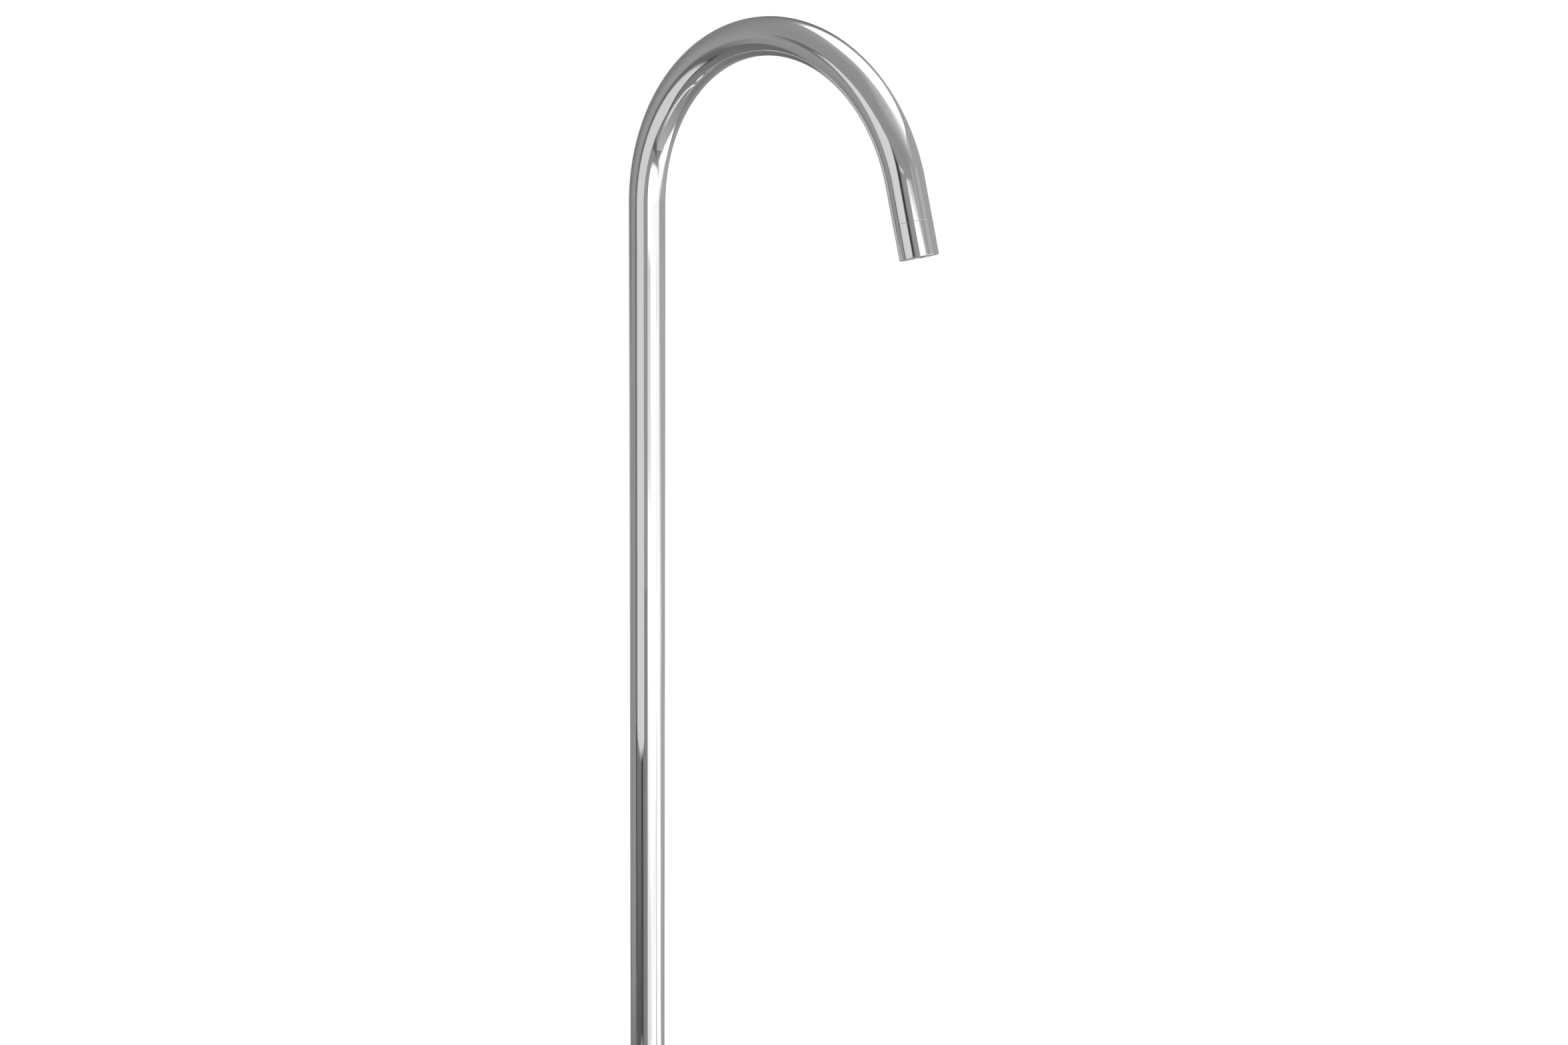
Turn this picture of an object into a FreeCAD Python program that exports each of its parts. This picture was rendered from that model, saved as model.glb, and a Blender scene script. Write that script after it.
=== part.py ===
"""Floor standing bath filler: a tall riser tube bent into a gooseneck, on a floor base.

Frame: +Z up, the origin on the riser's axis in the plane of the floor, +X towards the outlet.
The arch lies in the XZ plane.  Lengths are in millimetres and angles in degrees.

The riser's foot turns on a brass post that stands in the base plate.  A round cover slides up
the riser to uncover the floor screws.  The nose ring unscrews from the spout's end and holds the
flow straightener.
"""
import FreeCAD, Part
import math
import os
import re

import Sketcher

DOCUMENT = FreeCAD.newDocument("BathFiller")
VECTOR = FreeCAD.Vector
NEAR = 1e-6

# Driving dimensions ---------------------------------------------------------------------------

SIZES = {
    # the spout's tube
    "overall_height": "1000",
    "tube_diameter": "25",
    "tube_wall": "1.5",
    "arch_radius": "117",
    "arch_sweep": "164.4",
    "tail_length": "24.6",
    "seam_gap": "0.15",
    "seam_chamfer": "0.3",
    # clearances
    "running_gap": "0.05",
    "seat_gap": "0.05",
    "loose_gap": "0.3",
    # base: gasket, plate and floor screw holes
    "plate_diameter": "110",
    "plate_thickness": "8",
    "plate_chamfer": "0.8",
    "gasket_thickness": "2",
    "gasket_inset": "1",
    "floor_screws": "4",
    "floor_screw_circle": "82",
    "floor_screw_hole": "6.5",
    "floor_screw_head": "12.6",
    "recess_depth": "4",
    # inlet spigot and its post
    "flange_diameter": "56",
    "flange_thickness": "6",
    "boss_diameter": "30",
    "boss_floor_gap": "0.5",
    "inlet_thread_bore": "18.6",
    "inlet_thread_length": "12",
    "shoulder_height": "4",
    "waterway": "11",
    "post_diameter": "18",
    "post_length": "68",
    "post_chamfer": "1.2",
    "flange_screws": "3",
    "flange_screw_circle": "43",
    "flange_screw_diameter": "5",
    "flange_screw_head": "9.6",
    "flange_screw_rim": "0.4",
    "flange_screw_key": "3",
    "flange_screw_key_depth": "1.8",
    # running parts on the post, heights above the shoulder
    "groove_depth": "1.4",
    "bearing_width": "8",
    "bearing_slit": "1.5",
    "lower_bearing_height": "8",
    "upper_bearing_height": "42",
    "ring_groove_width": "2.4",
    "lower_ring_height": "53",
    "upper_ring_height": "60",
    "washer_thickness": "1.4",
    "thrust_gap": "0.1",
    # stop screw
    "stop_height": "24",
    "stop_screw_diameter": "5",
    "stop_screw_sink": "0.3",
    "stop_dog_diameter": "3",
    "stop_dog_gap": "0.35",
    "stop_key": "2.5",
    "stop_key_depth": "1.6",
    "swivel_limit": "90",
    "stop_play": "1.5",
    # riser socket
    "socket_post_gap": "0.25",
    "socket_overlap": "3",
    # cover
    "cover_side_gap": "1",
    "cover_wall": "2",
    "cover_height": "16",
    "cover_edge_radius": "2.5",
    "collar_diameter": "36",
    "collar_rise": "7",
    "collar_cove": "2",
    "collar_edge_radius": "0.8",
    "cover_ring_section": "2.4",
    "cover_ring_depth": "2.2",
    # nose
    "nose_length": "22",
    "nose_thread_bore": "21.2",
    "nose_thread_length": "9",
    "nose_cavity": "20.8",
    "nose_lip_bore": "18.6",
    "nose_lip": "1",
    "nose_edge_radius": "0.5",
    "adapter_plug": "14",
    "adapter_thread": "8",
    "adapter_bore": "17",
    "nose_ring_depth": "1.1",
    "nose_ring_width": "1.6",
    "nose_ring_offset": "0.8",
    # flow straightener
    "gasket_ring_thickness": "1.5",
    "housing_gap": "0.15",
    "housing_wall": "0.85",
    "housing_ledge": "1.2",
    "housing_ledge_wall": "0.65",
    "housing_nozzle": "0.7",
    "cell_pitch": "2.1",
    "cell_web": "0.35",
    "grid_depth": "5",
    "screen_thickness": "0.5",
    "screen_pitch": "2.45",
    "screen_hole": "1.7",
}

# Worked out from the sizes above ----------------------------------------------------------------

DERIVED = {
    "bend_start": "overall_height - arch_radius - tube_diameter / 2",
    "tube_radius": "tube_diameter / 2",
    "bore_radius": "tube_diameter / 2 - tube_wall",
    "bend_end_x": "arch_radius - arch_radius * cos(arch_sweep)",
    "bend_end_z": "bend_start + arch_radius * sin(arch_sweep)",
    "tail_end_x": "bend_end_x + tail_length * sin(arch_sweep)",
    "tail_end_z": "bend_end_z + tail_length * cos(arch_sweep)",
    "plate_top": "gasket_thickness + plate_thickness",
    "recess_floor": "plate_top - recess_depth",
    "flange_top": "recess_floor + flange_thickness",
    "shoulder_top": "flange_top + shoulder_height",
    "inlet_thread_top": "boss_floor_gap + inlet_thread_length",
    "post_radius": "post_diameter / 2",
    "post_top": "shoulder_top + post_length",
    "groove_radius": "post_radius - groove_depth",
    "washer_top": "shoulder_top + washer_thickness",
    "riser_foot": "washer_top + thrust_gap",
    "socket_bore_radius": "post_radius + socket_post_gap",
    "socket_top": "post_top + socket_overlap",
    "post_ring_section": "socket_bore_radius - groove_radius - 2 * running_gap",
    "stop_z": "shoulder_top + stop_height",
    "stop_dog_tip": "groove_radius + stop_dog_gap",
    "stop_slot_height": "stop_dog_diameter + 2 * loose_gap",
    "cover_radius": "plate_diameter / 2 + cover_side_gap + cover_wall",
    "cover_bore_radius": "tube_radius + loose_gap",
    "collar_radius": "collar_diameter / 2",
    "collar_top": "cover_height + collar_rise",
    "cover_ring_z": "collar_top - cover_ring_depth - cover_ring_section / 2",
    "cover_ring_inner": "tube_radius + running_gap",
    "cover_groove_radius": "cover_ring_inner + cover_ring_section + seat_gap",
    "cover_groove_half": "cover_ring_section / 2 + loose_gap",
    "adapter_radius": "bore_radius - seat_gap",
    "adapter_thread_radius": "nose_thread_bore / 2 - seat_gap",
    "nose_groove_radius": "adapter_thread_radius - nose_ring_depth",
    "nose_ring_section": "nose_thread_bore / 2 - nose_groove_radius - 2 * seat_gap",
    "nose_ring_s": "seam_gap + nose_ring_offset + nose_ring_width / 2",
    "nose_end": "seam_gap + nose_length",
    "nose_lip_s": "nose_end - nose_lip",
    "housing_top": "adapter_thread + gasket_ring_thickness",
    "housing_radius": "nose_cavity / 2 - housing_gap",
    "housing_bore": "housing_radius - housing_wall",
    "housing_ledge_s": "nose_lip_s - housing_ledge",
    "housing_nozzle_radius": "nose_lip_bore / 2 - housing_gap",
    "grid_radius": "housing_bore - seat_gap",
    "grid_top": "housing_ledge_s - grid_depth",
}


# The sheet and its expressions ------------------------------------------------------------------

def fill_sheet():
    """Put the driving dimensions in a sheet, and what is worked out from them below."""
    sheet = DOCUMENT.addObject("Spreadsheet::Sheet", "Sizes")
    rows = list(SIZES.items()) + [(name, "=" + formula) for name, formula in DERIVED.items()]
    for row, (name, content) in enumerate(rows, start=1):
        sheet.set(f"A{row}", name)
        sheet.set(f"B{row}", content)
        sheet.setAlias(f"B{row}", name)
    DOCUMENT.recompute()
    return sheet


SHEET = fill_sheet()
ALIASES = re.compile(r"\b(" + "|".join([*SIZES, *DERIVED]) + r")\b")


def linked(expression):
    """The expression with each size's name pointing into the sheet."""
    return ALIASES.sub(r"Sizes.\1", str(expression))


def value(expression):
    """The expression's value now."""
    return float(SHEET.evalExpression(str(expression)))


def bind(feature, **expressions):
    """Bind a feature's properties to expressions on the sheet."""
    for name, expression in expressions.items():
        feature.setExpression(name, linked(expression))


# Sketches ---------------------------------------------------------------------------------------

def new_body(name):
    """An empty body for one sub-part."""
    body = DOCUMENT.addObject("PartDesign::Body", name)
    body.Label = name
    return body


def new_sketch(body, plane, height=None):
    """A sketch on one of the body's origin planes, raised along the plane's normal."""
    origin_plane = next(item for item in body.Origin.OriginFeatures if item.Role == plane)
    sketch = body.newObject("Sketcher::SketchObject", body.Name + "_sketch")
    sketch.AttachmentSupport = (origin_plane, [""])
    sketch.MapMode = "FlatFace"
    if height is not None:
        sketch.setExpression(".AttachmentOffset.Base.z", linked(height))
    return sketch


def dimension(sketch, kind, *where, size):
    """One driving dimension of a sketch, bound to an expression."""
    index = sketch.addConstraint(Sketcher.Constraint(kind, *where, value(size)))
    sketch.setExpression(f"Constraints[{index}]", linked(size))


def place_point(sketch, line, end, across, along):
    """Fix one end of a line at two expressions, or on an axis where one of them is zero."""
    if value(across) == 0:
        sketch.addConstraint(Sketcher.Constraint("PointOnObject", line, end, -2))
    else:
        dimension(sketch, "DistanceX", -1, 1, line, end, size=across)
    if value(along) == 0:
        sketch.addConstraint(Sketcher.Constraint("PointOnObject", line, end, -1))
    else:
        dimension(sketch, "DistanceY", -1, 1, line, end, size=along)


def draw_outline(sketch, corners):
    """A closed outline through corners given as pairs of expressions."""
    points = [VECTOR(value(across), value(along), 0) for across, along in corners]
    lines = []
    for number, start in enumerate(points):
        stop = points[(number + 1) % len(points)]
        lines.append(sketch.addGeometry(Part.LineSegment(start, stop), False))
    for number, line in enumerate(lines):
        following = lines[(number + 1) % len(lines)]
        sketch.addConstraint(Sketcher.Constraint("Coincident", line, 2, following, 1))
        place_point(sketch, line, 1, *corners[number])
    return sketch


def draw_circle(sketch, radius, across="0", along="0"):
    """A circle with its radius and its centre bound to expressions."""
    centre = VECTOR(value(across), value(along), 0)
    circle = sketch.addGeometry(Part.Circle(centre, VECTOR(0, 0, 1), value(radius)), False)
    dimension(sketch, "Radius", circle, size=radius)
    place_point(sketch, circle, 3, across, along)
    return sketch


def draw_hexagon(sketch, across_flats, across="0", along="0"):
    """A hexagon with two sides along the sketch's first axis."""
    corners = []
    for number in range(6):
        angle = f"{60 * number} deg"
        reach = f"({across_flats}) / 2 / cos(30 deg)"
        corners.append((f"({across}) + {reach} * cos({angle})", f"({along}) + {reach} * sin({angle})"))
    return draw_outline(sketch, corners)


# Features ---------------------------------------------------------------------------------------

def revolve(body, corners):
    """Turn an outline of (radius, height) pairs about the body's Z axis."""
    sketch = draw_outline(new_sketch(body, "XZ_Plane"), corners)
    feature = body.newObject("PartDesign::Revolution", body.Name + "_turned")
    feature.Profile = (sketch, [""])
    feature.ReferenceAxis = (sketch, ["V_Axis"])
    feature.Angle = 360
    DOCUMENT.recompute()
    return feature


def check_cut(feature, before):
    """Stop if a cut has taken nothing off the volume that its body had before."""
    if not feature.Shape.Volume < before:
        raise RuntimeError(f"{feature.Name} cuts nothing")


def pocket(body, sketch, depth):
    """Cut a sketch into the body, against its plane's normal."""
    before = body.Shape.Volume
    feature = body.newObject("PartDesign::Pocket", body.Name + "_pocket")
    feature.Profile = (sketch, [""])
    bind(feature, Length=depth)
    DOCUMENT.recompute()
    check_cut(feature, before)
    return feature


def around(body, features, count):
    """Repeat features evenly about the body's Z axis."""
    pattern = body.newObject("PartDesign::PolarPattern", body.Name + "_pattern")
    pattern.Originals = features
    pattern.Axis = (next(item for item in body.Origin.OriginFeatures if item.Role == "Z_Axis"), [""])
    pattern.Angle = 360
    bind(pattern, Occurrences=count)
    body.Tip = pattern
    DOCUMENT.recompute()
    return pattern


def circular_edges(body, radius, height):
    """The names of the circles about the body's axis with this radius at this height."""
    found = []
    for number, edge in enumerate(body.Shape.Edges, start=1):
        curve = edge.Curve
        if not isinstance(curve, Part.Circle):
            continue
        on_axis = math.hypot(curve.Center.x, curve.Center.y) < NEAR
        as_wide = abs(curve.Radius - value(radius)) < NEAR
        as_high = abs(curve.Center.z - value(height)) < NEAR
        if on_axis and as_wide and as_high:
            found.append(f"Edge{number}")
    if not found:
        raise RuntimeError(f"{body.Name} has no edge of radius {radius} at {height}")
    return found


def soften(body, kind, size, *places):
    """Fillet or chamfer the circles at these (radius, height) places."""
    edges = []
    for radius, height in places:
        edges += circular_edges(body, radius, height)
    base = body.Tip
    feature = body.newObject("PartDesign::" + kind, f"{body.Name}_{kind.lower()}")
    feature.Base = (base, edges)
    bind(feature, **{"Radius" if kind == "Fillet" else "Size": size})
    DOCUMENT.recompute()
    return feature


def turned(name, corners):
    """A body made by turning one outline."""
    body = new_body(name)
    revolve(body, corners)
    return body


def tube_ring(name, inner, outer, low, high):
    """A plain ring between two radii and two heights."""
    return turned(name, [(inner, low), (outer, low), (outer, high), (inner, high)])


def squeezed_ring(name, inner, section, middle):
    """An O-ring as squeezed in its groove: a round section of eight flats, two of them sealing."""
    body = new_body(name)
    centre = f"{inner} + {section} / 2"
    corner = f"{section} / 2 / cos(22.5)"
    corners = []
    for number in range(8):
        turn = 22.5 + 45 * number
        corners.append((f"{centre} + {corner} * cos({turn})", f"{middle} + {corner} * sin({turn})"))
    revolve(body, corners)
    return body


def put_on_nose(piece):
    """Carry a piece made about its own Z axis to the spout's end, pointing with the flow."""
    piece.Placement.Rotation = FreeCAD.Rotation(VECTOR(0, 1, 0), value("arch_sweep"))
    piece.setExpression(".Placement.Rotation.Angle", linked("arch_sweep"))
    piece.setExpression(".Placement.Base.x", linked("tail_end_x"))
    piece.setExpression(".Placement.Base.z", linked("tail_end_z"))
    return piece


# Base -------------------------------------------------------------------------------------------

def floor_gasket():
    """The rubber sheet ring between the plate and the floor, cut to the plate's holes."""
    body = tube_ring(
        "floor_gasket",
        "boss_diameter / 2 + loose_gap",
        "plate_diameter / 2 - gasket_inset",
        "0",
        "gasket_thickness",
    )
    sketch = new_sketch(body, "XY_Plane", "gasket_thickness")
    along = "floor_screw_circle / 2 * sin(45)"
    draw_circle(sketch, "floor_screw_hole / 2", along, along)
    around(body, [pocket(body, sketch, "gasket_thickness")], "floor_screws")
    return body


def base_plate():
    """The round plate that is screwed to the floor and carries the spigot in its recess."""
    boss_hole = "boss_diameter / 2 + seat_gap"
    recess = "flange_diameter / 2 + seat_gap"
    body = turned("base_plate", [
        (boss_hole, "gasket_thickness"),
        ("plate_diameter / 2", "gasket_thickness"),
        ("plate_diameter / 2", "plate_top"),
        (recess, "plate_top"),
        (recess, "recess_floor"),
        (boss_hole, "recess_floor"),
    ])
    soften(body, "Chamfer", "plate_chamfer", ("plate_diameter / 2", "plate_top"))
    across = "floor_screw_circle / 2 * sin(45)"
    hole = countersink(body, "plate_top", "floor_screw_hole", "floor_screw_head", across, across)
    around(body, [hole], "floor_screws")
    tapped = new_sketch(body, "XY_Plane", "recess_floor")
    draw_circle(tapped, "flange_screw_diameter / 2 + seat_gap", "-flange_screw_circle / 2")
    around(body, [pocket(body, tapped, "plate_thickness")], "flange_screws")
    return body


def countersink(body, height, hole, head, across, along="0"):
    """A through hole with a countersink for a flat head, its mouth at a height."""
    before = body.Shape.Volume
    sketch = new_sketch(body, "XY_Plane", height)
    draw_circle(sketch, f"({hole}) / 2", across, along)
    feature = body.newObject("PartDesign::Hole", body.Name + "_hole")
    feature.Profile = (sketch, [""])
    DOCUMENT.recompute()
    feature.DepthType = "ThroughAll"
    feature.HoleCutType = "Countersink"
    feature.HoleCutCountersinkAngle = 90
    bind(feature, Diameter=hole, HoleCutDiameter=head)
    DOCUMENT.recompute()
    check_cut(feature, before)
    return feature


def inlet_spigot():
    """The turned brass inlet: threaded boss, screwed flange, shoulder and grooved post."""
    grooves = [
        ("upper_ring_height", "ring_groove_width"),
        ("lower_ring_height", "ring_groove_width"),
        ("upper_bearing_height", "bearing_width"),
        ("lower_bearing_height", "bearing_width"),
    ]
    corners = [
        ("waterway / 2", "inlet_thread_top"),
        ("inlet_thread_bore / 2", "inlet_thread_top"),
        ("inlet_thread_bore / 2", "boss_floor_gap"),
        ("boss_diameter / 2", "boss_floor_gap"),
        ("boss_diameter / 2", "recess_floor"),
        ("flange_diameter / 2", "recess_floor"),
        ("flange_diameter / 2", "flange_top"),
        ("tube_radius", "flange_top"),
        ("tube_radius", "shoulder_top"),
        ("post_radius", "shoulder_top"),
    ]
    for middle, width in reversed(grooves):
        low = f"shoulder_top + {middle} - {width} / 2 - running_gap"
        high = f"shoulder_top + {middle} + {width} / 2 + running_gap"
        corners += [("post_radius", low), ("groove_radius", low)]
        corners += [("groove_radius", high), ("post_radius", high)]
    corners += [("post_radius", "post_top"), ("waterway / 2", "post_top")]
    body = turned("inlet_spigot", corners)
    soften(body, "Chamfer", "post_chamfer", ("post_radius", "post_top"))
    hole = countersink(
        body,
        "flange_top",
        "flange_screw_diameter + 4 * seat_gap",
        "flange_screw_head + 2 * flange_screw_rim + 4 * seat_gap",
        "-flange_screw_circle / 2",
    )
    around(body, [hole], "flange_screws")
    cut_stop_slot(body)
    return body


def cut_stop_slot(body):
    """The slot part of the way round the post in which the stop screw's point runs."""
    low = "stop_z - stop_slot_height / 2"
    high = "stop_z + stop_slot_height / 2"
    outside = "-(post_radius + loose_gap)"
    sketch = new_sketch(body, "XZ_Plane")
    inside = "-groove_radius"
    draw_outline(sketch, [(inside, low), (inside, high), (outside, high), (outside, low)])
    before = body.Shape.Volume
    slot = body.newObject("PartDesign::Groove", body.Name + "_stop_slot")
    slot.Profile = (sketch, [""])
    slot.ReferenceAxis = (sketch, ["V_Axis"])
    slot.Midplane = True
    point = "asin(stop_dog_diameter / 2 / stop_dog_tip)"
    bind(slot, Angle=f"2 * (swivel_limit * 1 deg + {point} + stop_play * 1 deg)")
    DOCUMENT.recompute()
    check_cut(slot, before)


def spigot_screws():
    """The flat head screws that hold the spigot's flange in the plate."""
    body = new_body("spigot_screws")
    centre = "-flange_screw_circle / 2"
    shank = "flange_screw_diameter / 2"
    head = "flange_screw_head / 2"
    rim_floor = "flange_top - flange_screw_rim"
    sketch = draw_outline(new_sketch(body, "XZ_Plane"), [
        (centre, "gasket_thickness + loose_gap"),
        (f"{centre} + {shank}", "gasket_thickness + loose_gap"),
        (f"{centre} + {shank}", f"{rim_floor} - ({head} - {shank})"),
        (f"{centre} + {head}", rim_floor),
        (f"{centre} + {head}", "flange_top"),
        (centre, "flange_top"),
    ])
    screw = body.newObject("PartDesign::Revolution", "spigot_screws_turned")
    screw.Profile = (sketch, [""])
    screw.ReferenceAxis = (sketch, ["Edge6"])
    screw.Angle = 360
    DOCUMENT.recompute()
    key = new_sketch(body, "XY_Plane", "flange_top")
    draw_hexagon(key, "flange_screw_key", centre)
    socket = pocket(body, key, "flange_screw_key_depth")
    around(body, [screw, socket], "flange_screws")
    return body


# Running parts between the post and the riser ---------------------------------------------------

def bearing_ring(name, middle):
    """A split plastic bearing ring in one of the post's wide grooves."""
    low = f"shoulder_top + {middle} - bearing_width / 2"
    high = f"shoulder_top + {middle} + bearing_width / 2"
    body = tube_ring(name, "groove_radius + running_gap", "socket_bore_radius - running_gap", low, high)
    slit = new_sketch(body, "XY_Plane", high)
    draw_outline(slit, [
        ("0", "-bearing_slit / 2"),
        ("post_radius + loose_gap", "-bearing_slit / 2"),
        ("post_radius + loose_gap", "bearing_slit / 2"),
        ("0", "bearing_slit / 2"),
    ])
    pocket(body, slit, "bearing_width")
    return body


def post_ring(name, middle):
    """An O-ring in one of the post's narrow grooves, as squeezed by the socket's bore."""
    inner = "groove_radius + running_gap"
    return squeezed_ring(name, inner, "post_ring_section", f"shoulder_top + {middle}")


def thrust_washer():
    """The plastic washer on the shoulder that carries the riser's foot."""
    inner = "post_radius + loose_gap"
    return tube_ring("thrust_washer", inner, "tube_radius - loose_gap", "shoulder_top", "washer_top")


# Cover ------------------------------------------------------------------------------------------

def cover_flange():
    """The round cover over the base plate, with a collar that slides on the riser."""
    inside = "cover_radius - cover_wall"
    groove_low = "cover_ring_z - cover_groove_half"
    groove_high = "cover_ring_z + cover_groove_half"
    body = turned("cover_flange", [
        ("cover_radius", "0"),
        ("cover_radius", "cover_height"),
        ("collar_radius", "cover_height"),
        ("collar_radius", "collar_top"),
        ("cover_bore_radius", "collar_top"),
        ("cover_bore_radius", groove_high),
        ("cover_groove_radius", groove_high),
        ("cover_groove_radius", groove_low),
        ("cover_bore_radius", groove_low),
        ("cover_bore_radius", "cover_height - cover_wall"),
        (inside, "cover_height - cover_wall"),
        (inside, "0"),
    ])
    soften(body, "Fillet", "cover_edge_radius", ("cover_radius", "cover_height"))
    soften(body, "Fillet", "collar_cove", ("collar_radius", "cover_height"))
    soften(body, "Fillet", "collar_edge_radius", ("collar_radius", "collar_top"))
    return body


def cover_ring():
    """The O-ring in the collar that grips the riser and holds the cover where it is put."""
    return squeezed_ring("cover_o_ring", "cover_ring_inner", "cover_ring_section", "cover_ring_z")


# Spout ------------------------------------------------------------------------------------------

def centre_line(body):
    """The spout's centre line: up the riser, round the arch and down the tail."""
    foot, top = value("riser_foot"), value("bend_start")
    end = VECTOR(value("bend_end_x"), value("bend_end_z"), 0)
    tail = VECTOR(value("tail_end_x"), value("tail_end_z"), 0)
    radius, sweep = value("arch_radius"), math.radians(value("arch_sweep"))
    circle = Part.Circle(VECTOR(radius, top, 0), VECTOR(0, 0, 1), radius)
    sketch = new_sketch(body, "XZ_Plane")
    riser = sketch.addGeometry(Part.LineSegment(VECTOR(0, foot, 0), VECTOR(0, top, 0)), False)
    arch = sketch.addGeometry(Part.ArcOfCircle(circle, math.pi - sweep, math.pi), False)
    down = sketch.addGeometry(Part.LineSegment(end, tail), False)
    sketch.addConstraint(Sketcher.Constraint("Coincident", riser, 2, arch, 2))
    sketch.addConstraint(Sketcher.Constraint("Coincident", arch, 1, down, 1))
    place_point(sketch, riser, 1, "0", "riser_foot")
    place_point(sketch, riser, 2, "0", "bend_start")
    place_point(sketch, arch, 3, "arch_radius", "bend_start")
    dimension(sketch, "DistanceX", -1, 1, down, 1, size="bend_end_x")
    place_point(sketch, down, 2, "tail_end_x", "tail_end_z")
    return sketch


def spout_tube():
    """The drawn tube: riser, gooseneck arch and tail, with a hole for the stop screw."""
    body = new_body("spout_tube")
    section = new_sketch(body, "XY_Plane", "riser_foot")
    draw_circle(section, "tube_radius")
    draw_circle(section, "bore_radius")
    pipe = body.newObject("PartDesign::AdditivePipe", "spout_tube_bent")
    pipe.Profile = (section, [""])
    pipe.Spine = (centre_line(body), [""])
    DOCUMENT.recompute()
    check_tube(body)
    drill_stop_hole(body)
    return body


def check_tube(body):
    """Compare the tube's volume with its section times its length."""
    arch = value("arch_radius") * math.radians(value("arch_sweep"))
    length = value("bend_start - riser_foot") + arch + value("tail_length")
    volume = math.pi * (value("tube_radius") ** 2 - value("bore_radius") ** 2) * length
    print(f"spout tube: {length:.1f} mm on its centre line")
    if abs(body.Shape.Volume / volume - 1) > 1e-4:
        raise RuntimeError("the spout tube's volume is not its section times its length")


def drill_stop_hole(body):
    """The stop screw's radial hole, through one wall on the -X side."""
    sketch = new_sketch(body, "YZ_Plane")
    draw_circle(sketch, "stop_screw_diameter / 2 + seat_gap", "0", "stop_z")
    pocket(body, sketch, "tube_radius + loose_gap")


def riser_socket():
    """The brass bush brazed into the riser's foot, which runs on the post's bearings."""
    outer = "bore_radius - seat_gap"
    body = tube_ring("riser_socket", "socket_bore_radius", outer, "riser_foot", "socket_top")
    drill_stop_hole(body)
    return body


def stop_screw():
    """The grub screw at the riser's back, whose point runs in the post's slot."""
    shank = "stop_screw_diameter / 2"
    point = "stop_dog_diameter / 2"
    outer = "tube_radius - stop_screw_sink"
    body = turned("stop_screw", [
        ("0", "stop_dog_tip"),
        (point, "stop_dog_tip"),
        (point, "socket_bore_radius + running_gap"),
        (shank, "socket_bore_radius + running_gap"),
        (shank, outer),
        ("0", outer),
    ])
    key = draw_hexagon(new_sketch(body, "XY_Plane", outer), "stop_key")
    pocket(body, key, "stop_key_depth")
    body.Placement.Rotation = FreeCAD.Rotation(VECTOR(0, 1, 0), -90)
    body.setExpression(".Placement.Base.z", linked("stop_z"))
    return body


# Nose -------------------------------------------------------------------------------------------
# Each piece is made about Z with the tube's end at zero and the flow along +Z, then carried there.

def nose_adapter():
    """The threaded bush brazed into the tube's end."""
    groove_low = "nose_ring_s - nose_ring_width / 2"
    groove_high = "nose_ring_s + nose_ring_width / 2"
    body = turned("nose_adapter", [
        ("adapter_bore / 2", "-adapter_plug"),
        ("adapter_radius", "-adapter_plug"),
        ("adapter_radius", "0"),
        ("adapter_thread_radius", "0"),
        ("adapter_thread_radius", groove_low),
        ("nose_groove_radius", groove_low),
        ("nose_groove_radius", groove_high),
        ("adapter_thread_radius", groove_high),
        ("adapter_thread_radius", "adapter_thread"),
        ("adapter_bore / 2", "adapter_thread"),
    ])
    return put_on_nose(body)


def outlet_nose():
    """The ring that ends the spout, screwed on the adapter, with a lip that holds the straightener."""
    body = turned("outlet_nose", [
        ("nose_thread_bore / 2", "seam_gap"),
        ("tube_radius", "seam_gap"),
        ("tube_radius", "nose_end"),
        ("nose_lip_bore / 2", "nose_end"),
        ("nose_lip_bore / 2", "nose_lip_s"),
        ("nose_cavity / 2", "nose_lip_s"),
        ("nose_cavity / 2", "nose_thread_length"),
        ("nose_thread_bore / 2", "nose_thread_length"),
    ])
    soften(body, "Chamfer", "seam_chamfer", ("tube_radius", "seam_gap"))
    soften(body, "Fillet", "nose_edge_radius", ("tube_radius", "nose_end"))
    return put_on_nose(body)


def nose_ring():
    """The O-ring that seals the nose on the adapter."""
    inner = "nose_groove_radius + seat_gap"
    return put_on_nose(squeezed_ring("nose_o_ring", inner, "nose_ring_section", "nose_ring_s"))


def straightener_washer():
    """The rubber washer between the adapter and the straightener's housing."""
    washer = tube_ring(
        "straightener_washer",
        "adapter_bore / 2",
        "housing_radius",
        "adapter_thread",
        "housing_top",
    )
    return put_on_nose(washer)


def straightener_housing():
    """The plastic cup that holds the screen and the grid, standing on the nose's lip."""
    ledge = "housing_nozzle_radius - housing_ledge_wall"
    body = turned("straightener_housing", [
        ("housing_bore", "housing_top"),
        ("housing_radius", "housing_top"),
        ("housing_radius", "nose_lip_s"),
        ("housing_nozzle_radius", "nose_lip_s"),
        ("housing_nozzle_radius", "nose_lip_s + housing_nozzle"),
        (ledge, "nose_lip_s + housing_nozzle"),
        (ledge, "housing_ledge_s"),
        ("housing_bore", "housing_ledge_s"),
    ])
    return put_on_nose(body)


def hexagon_centres(pitch, reach):
    """The centres of a honeycomb's cells within a reach of the middle, on rows along X."""
    rows = int(reach / (pitch * math.sin(math.radians(60))))
    centres = []
    for row in range(-rows, rows + 1):
        along = row * pitch * math.sin(math.radians(60))
        half_step = pitch / 2 * (row % 2)
        columns = int(reach / pitch) + 1
        for column in range(-columns, columns + 1):
            across = column * pitch + half_step
            if math.hypot(across, along) <= reach:
                centres.append((across, along))
    return centres


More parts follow.
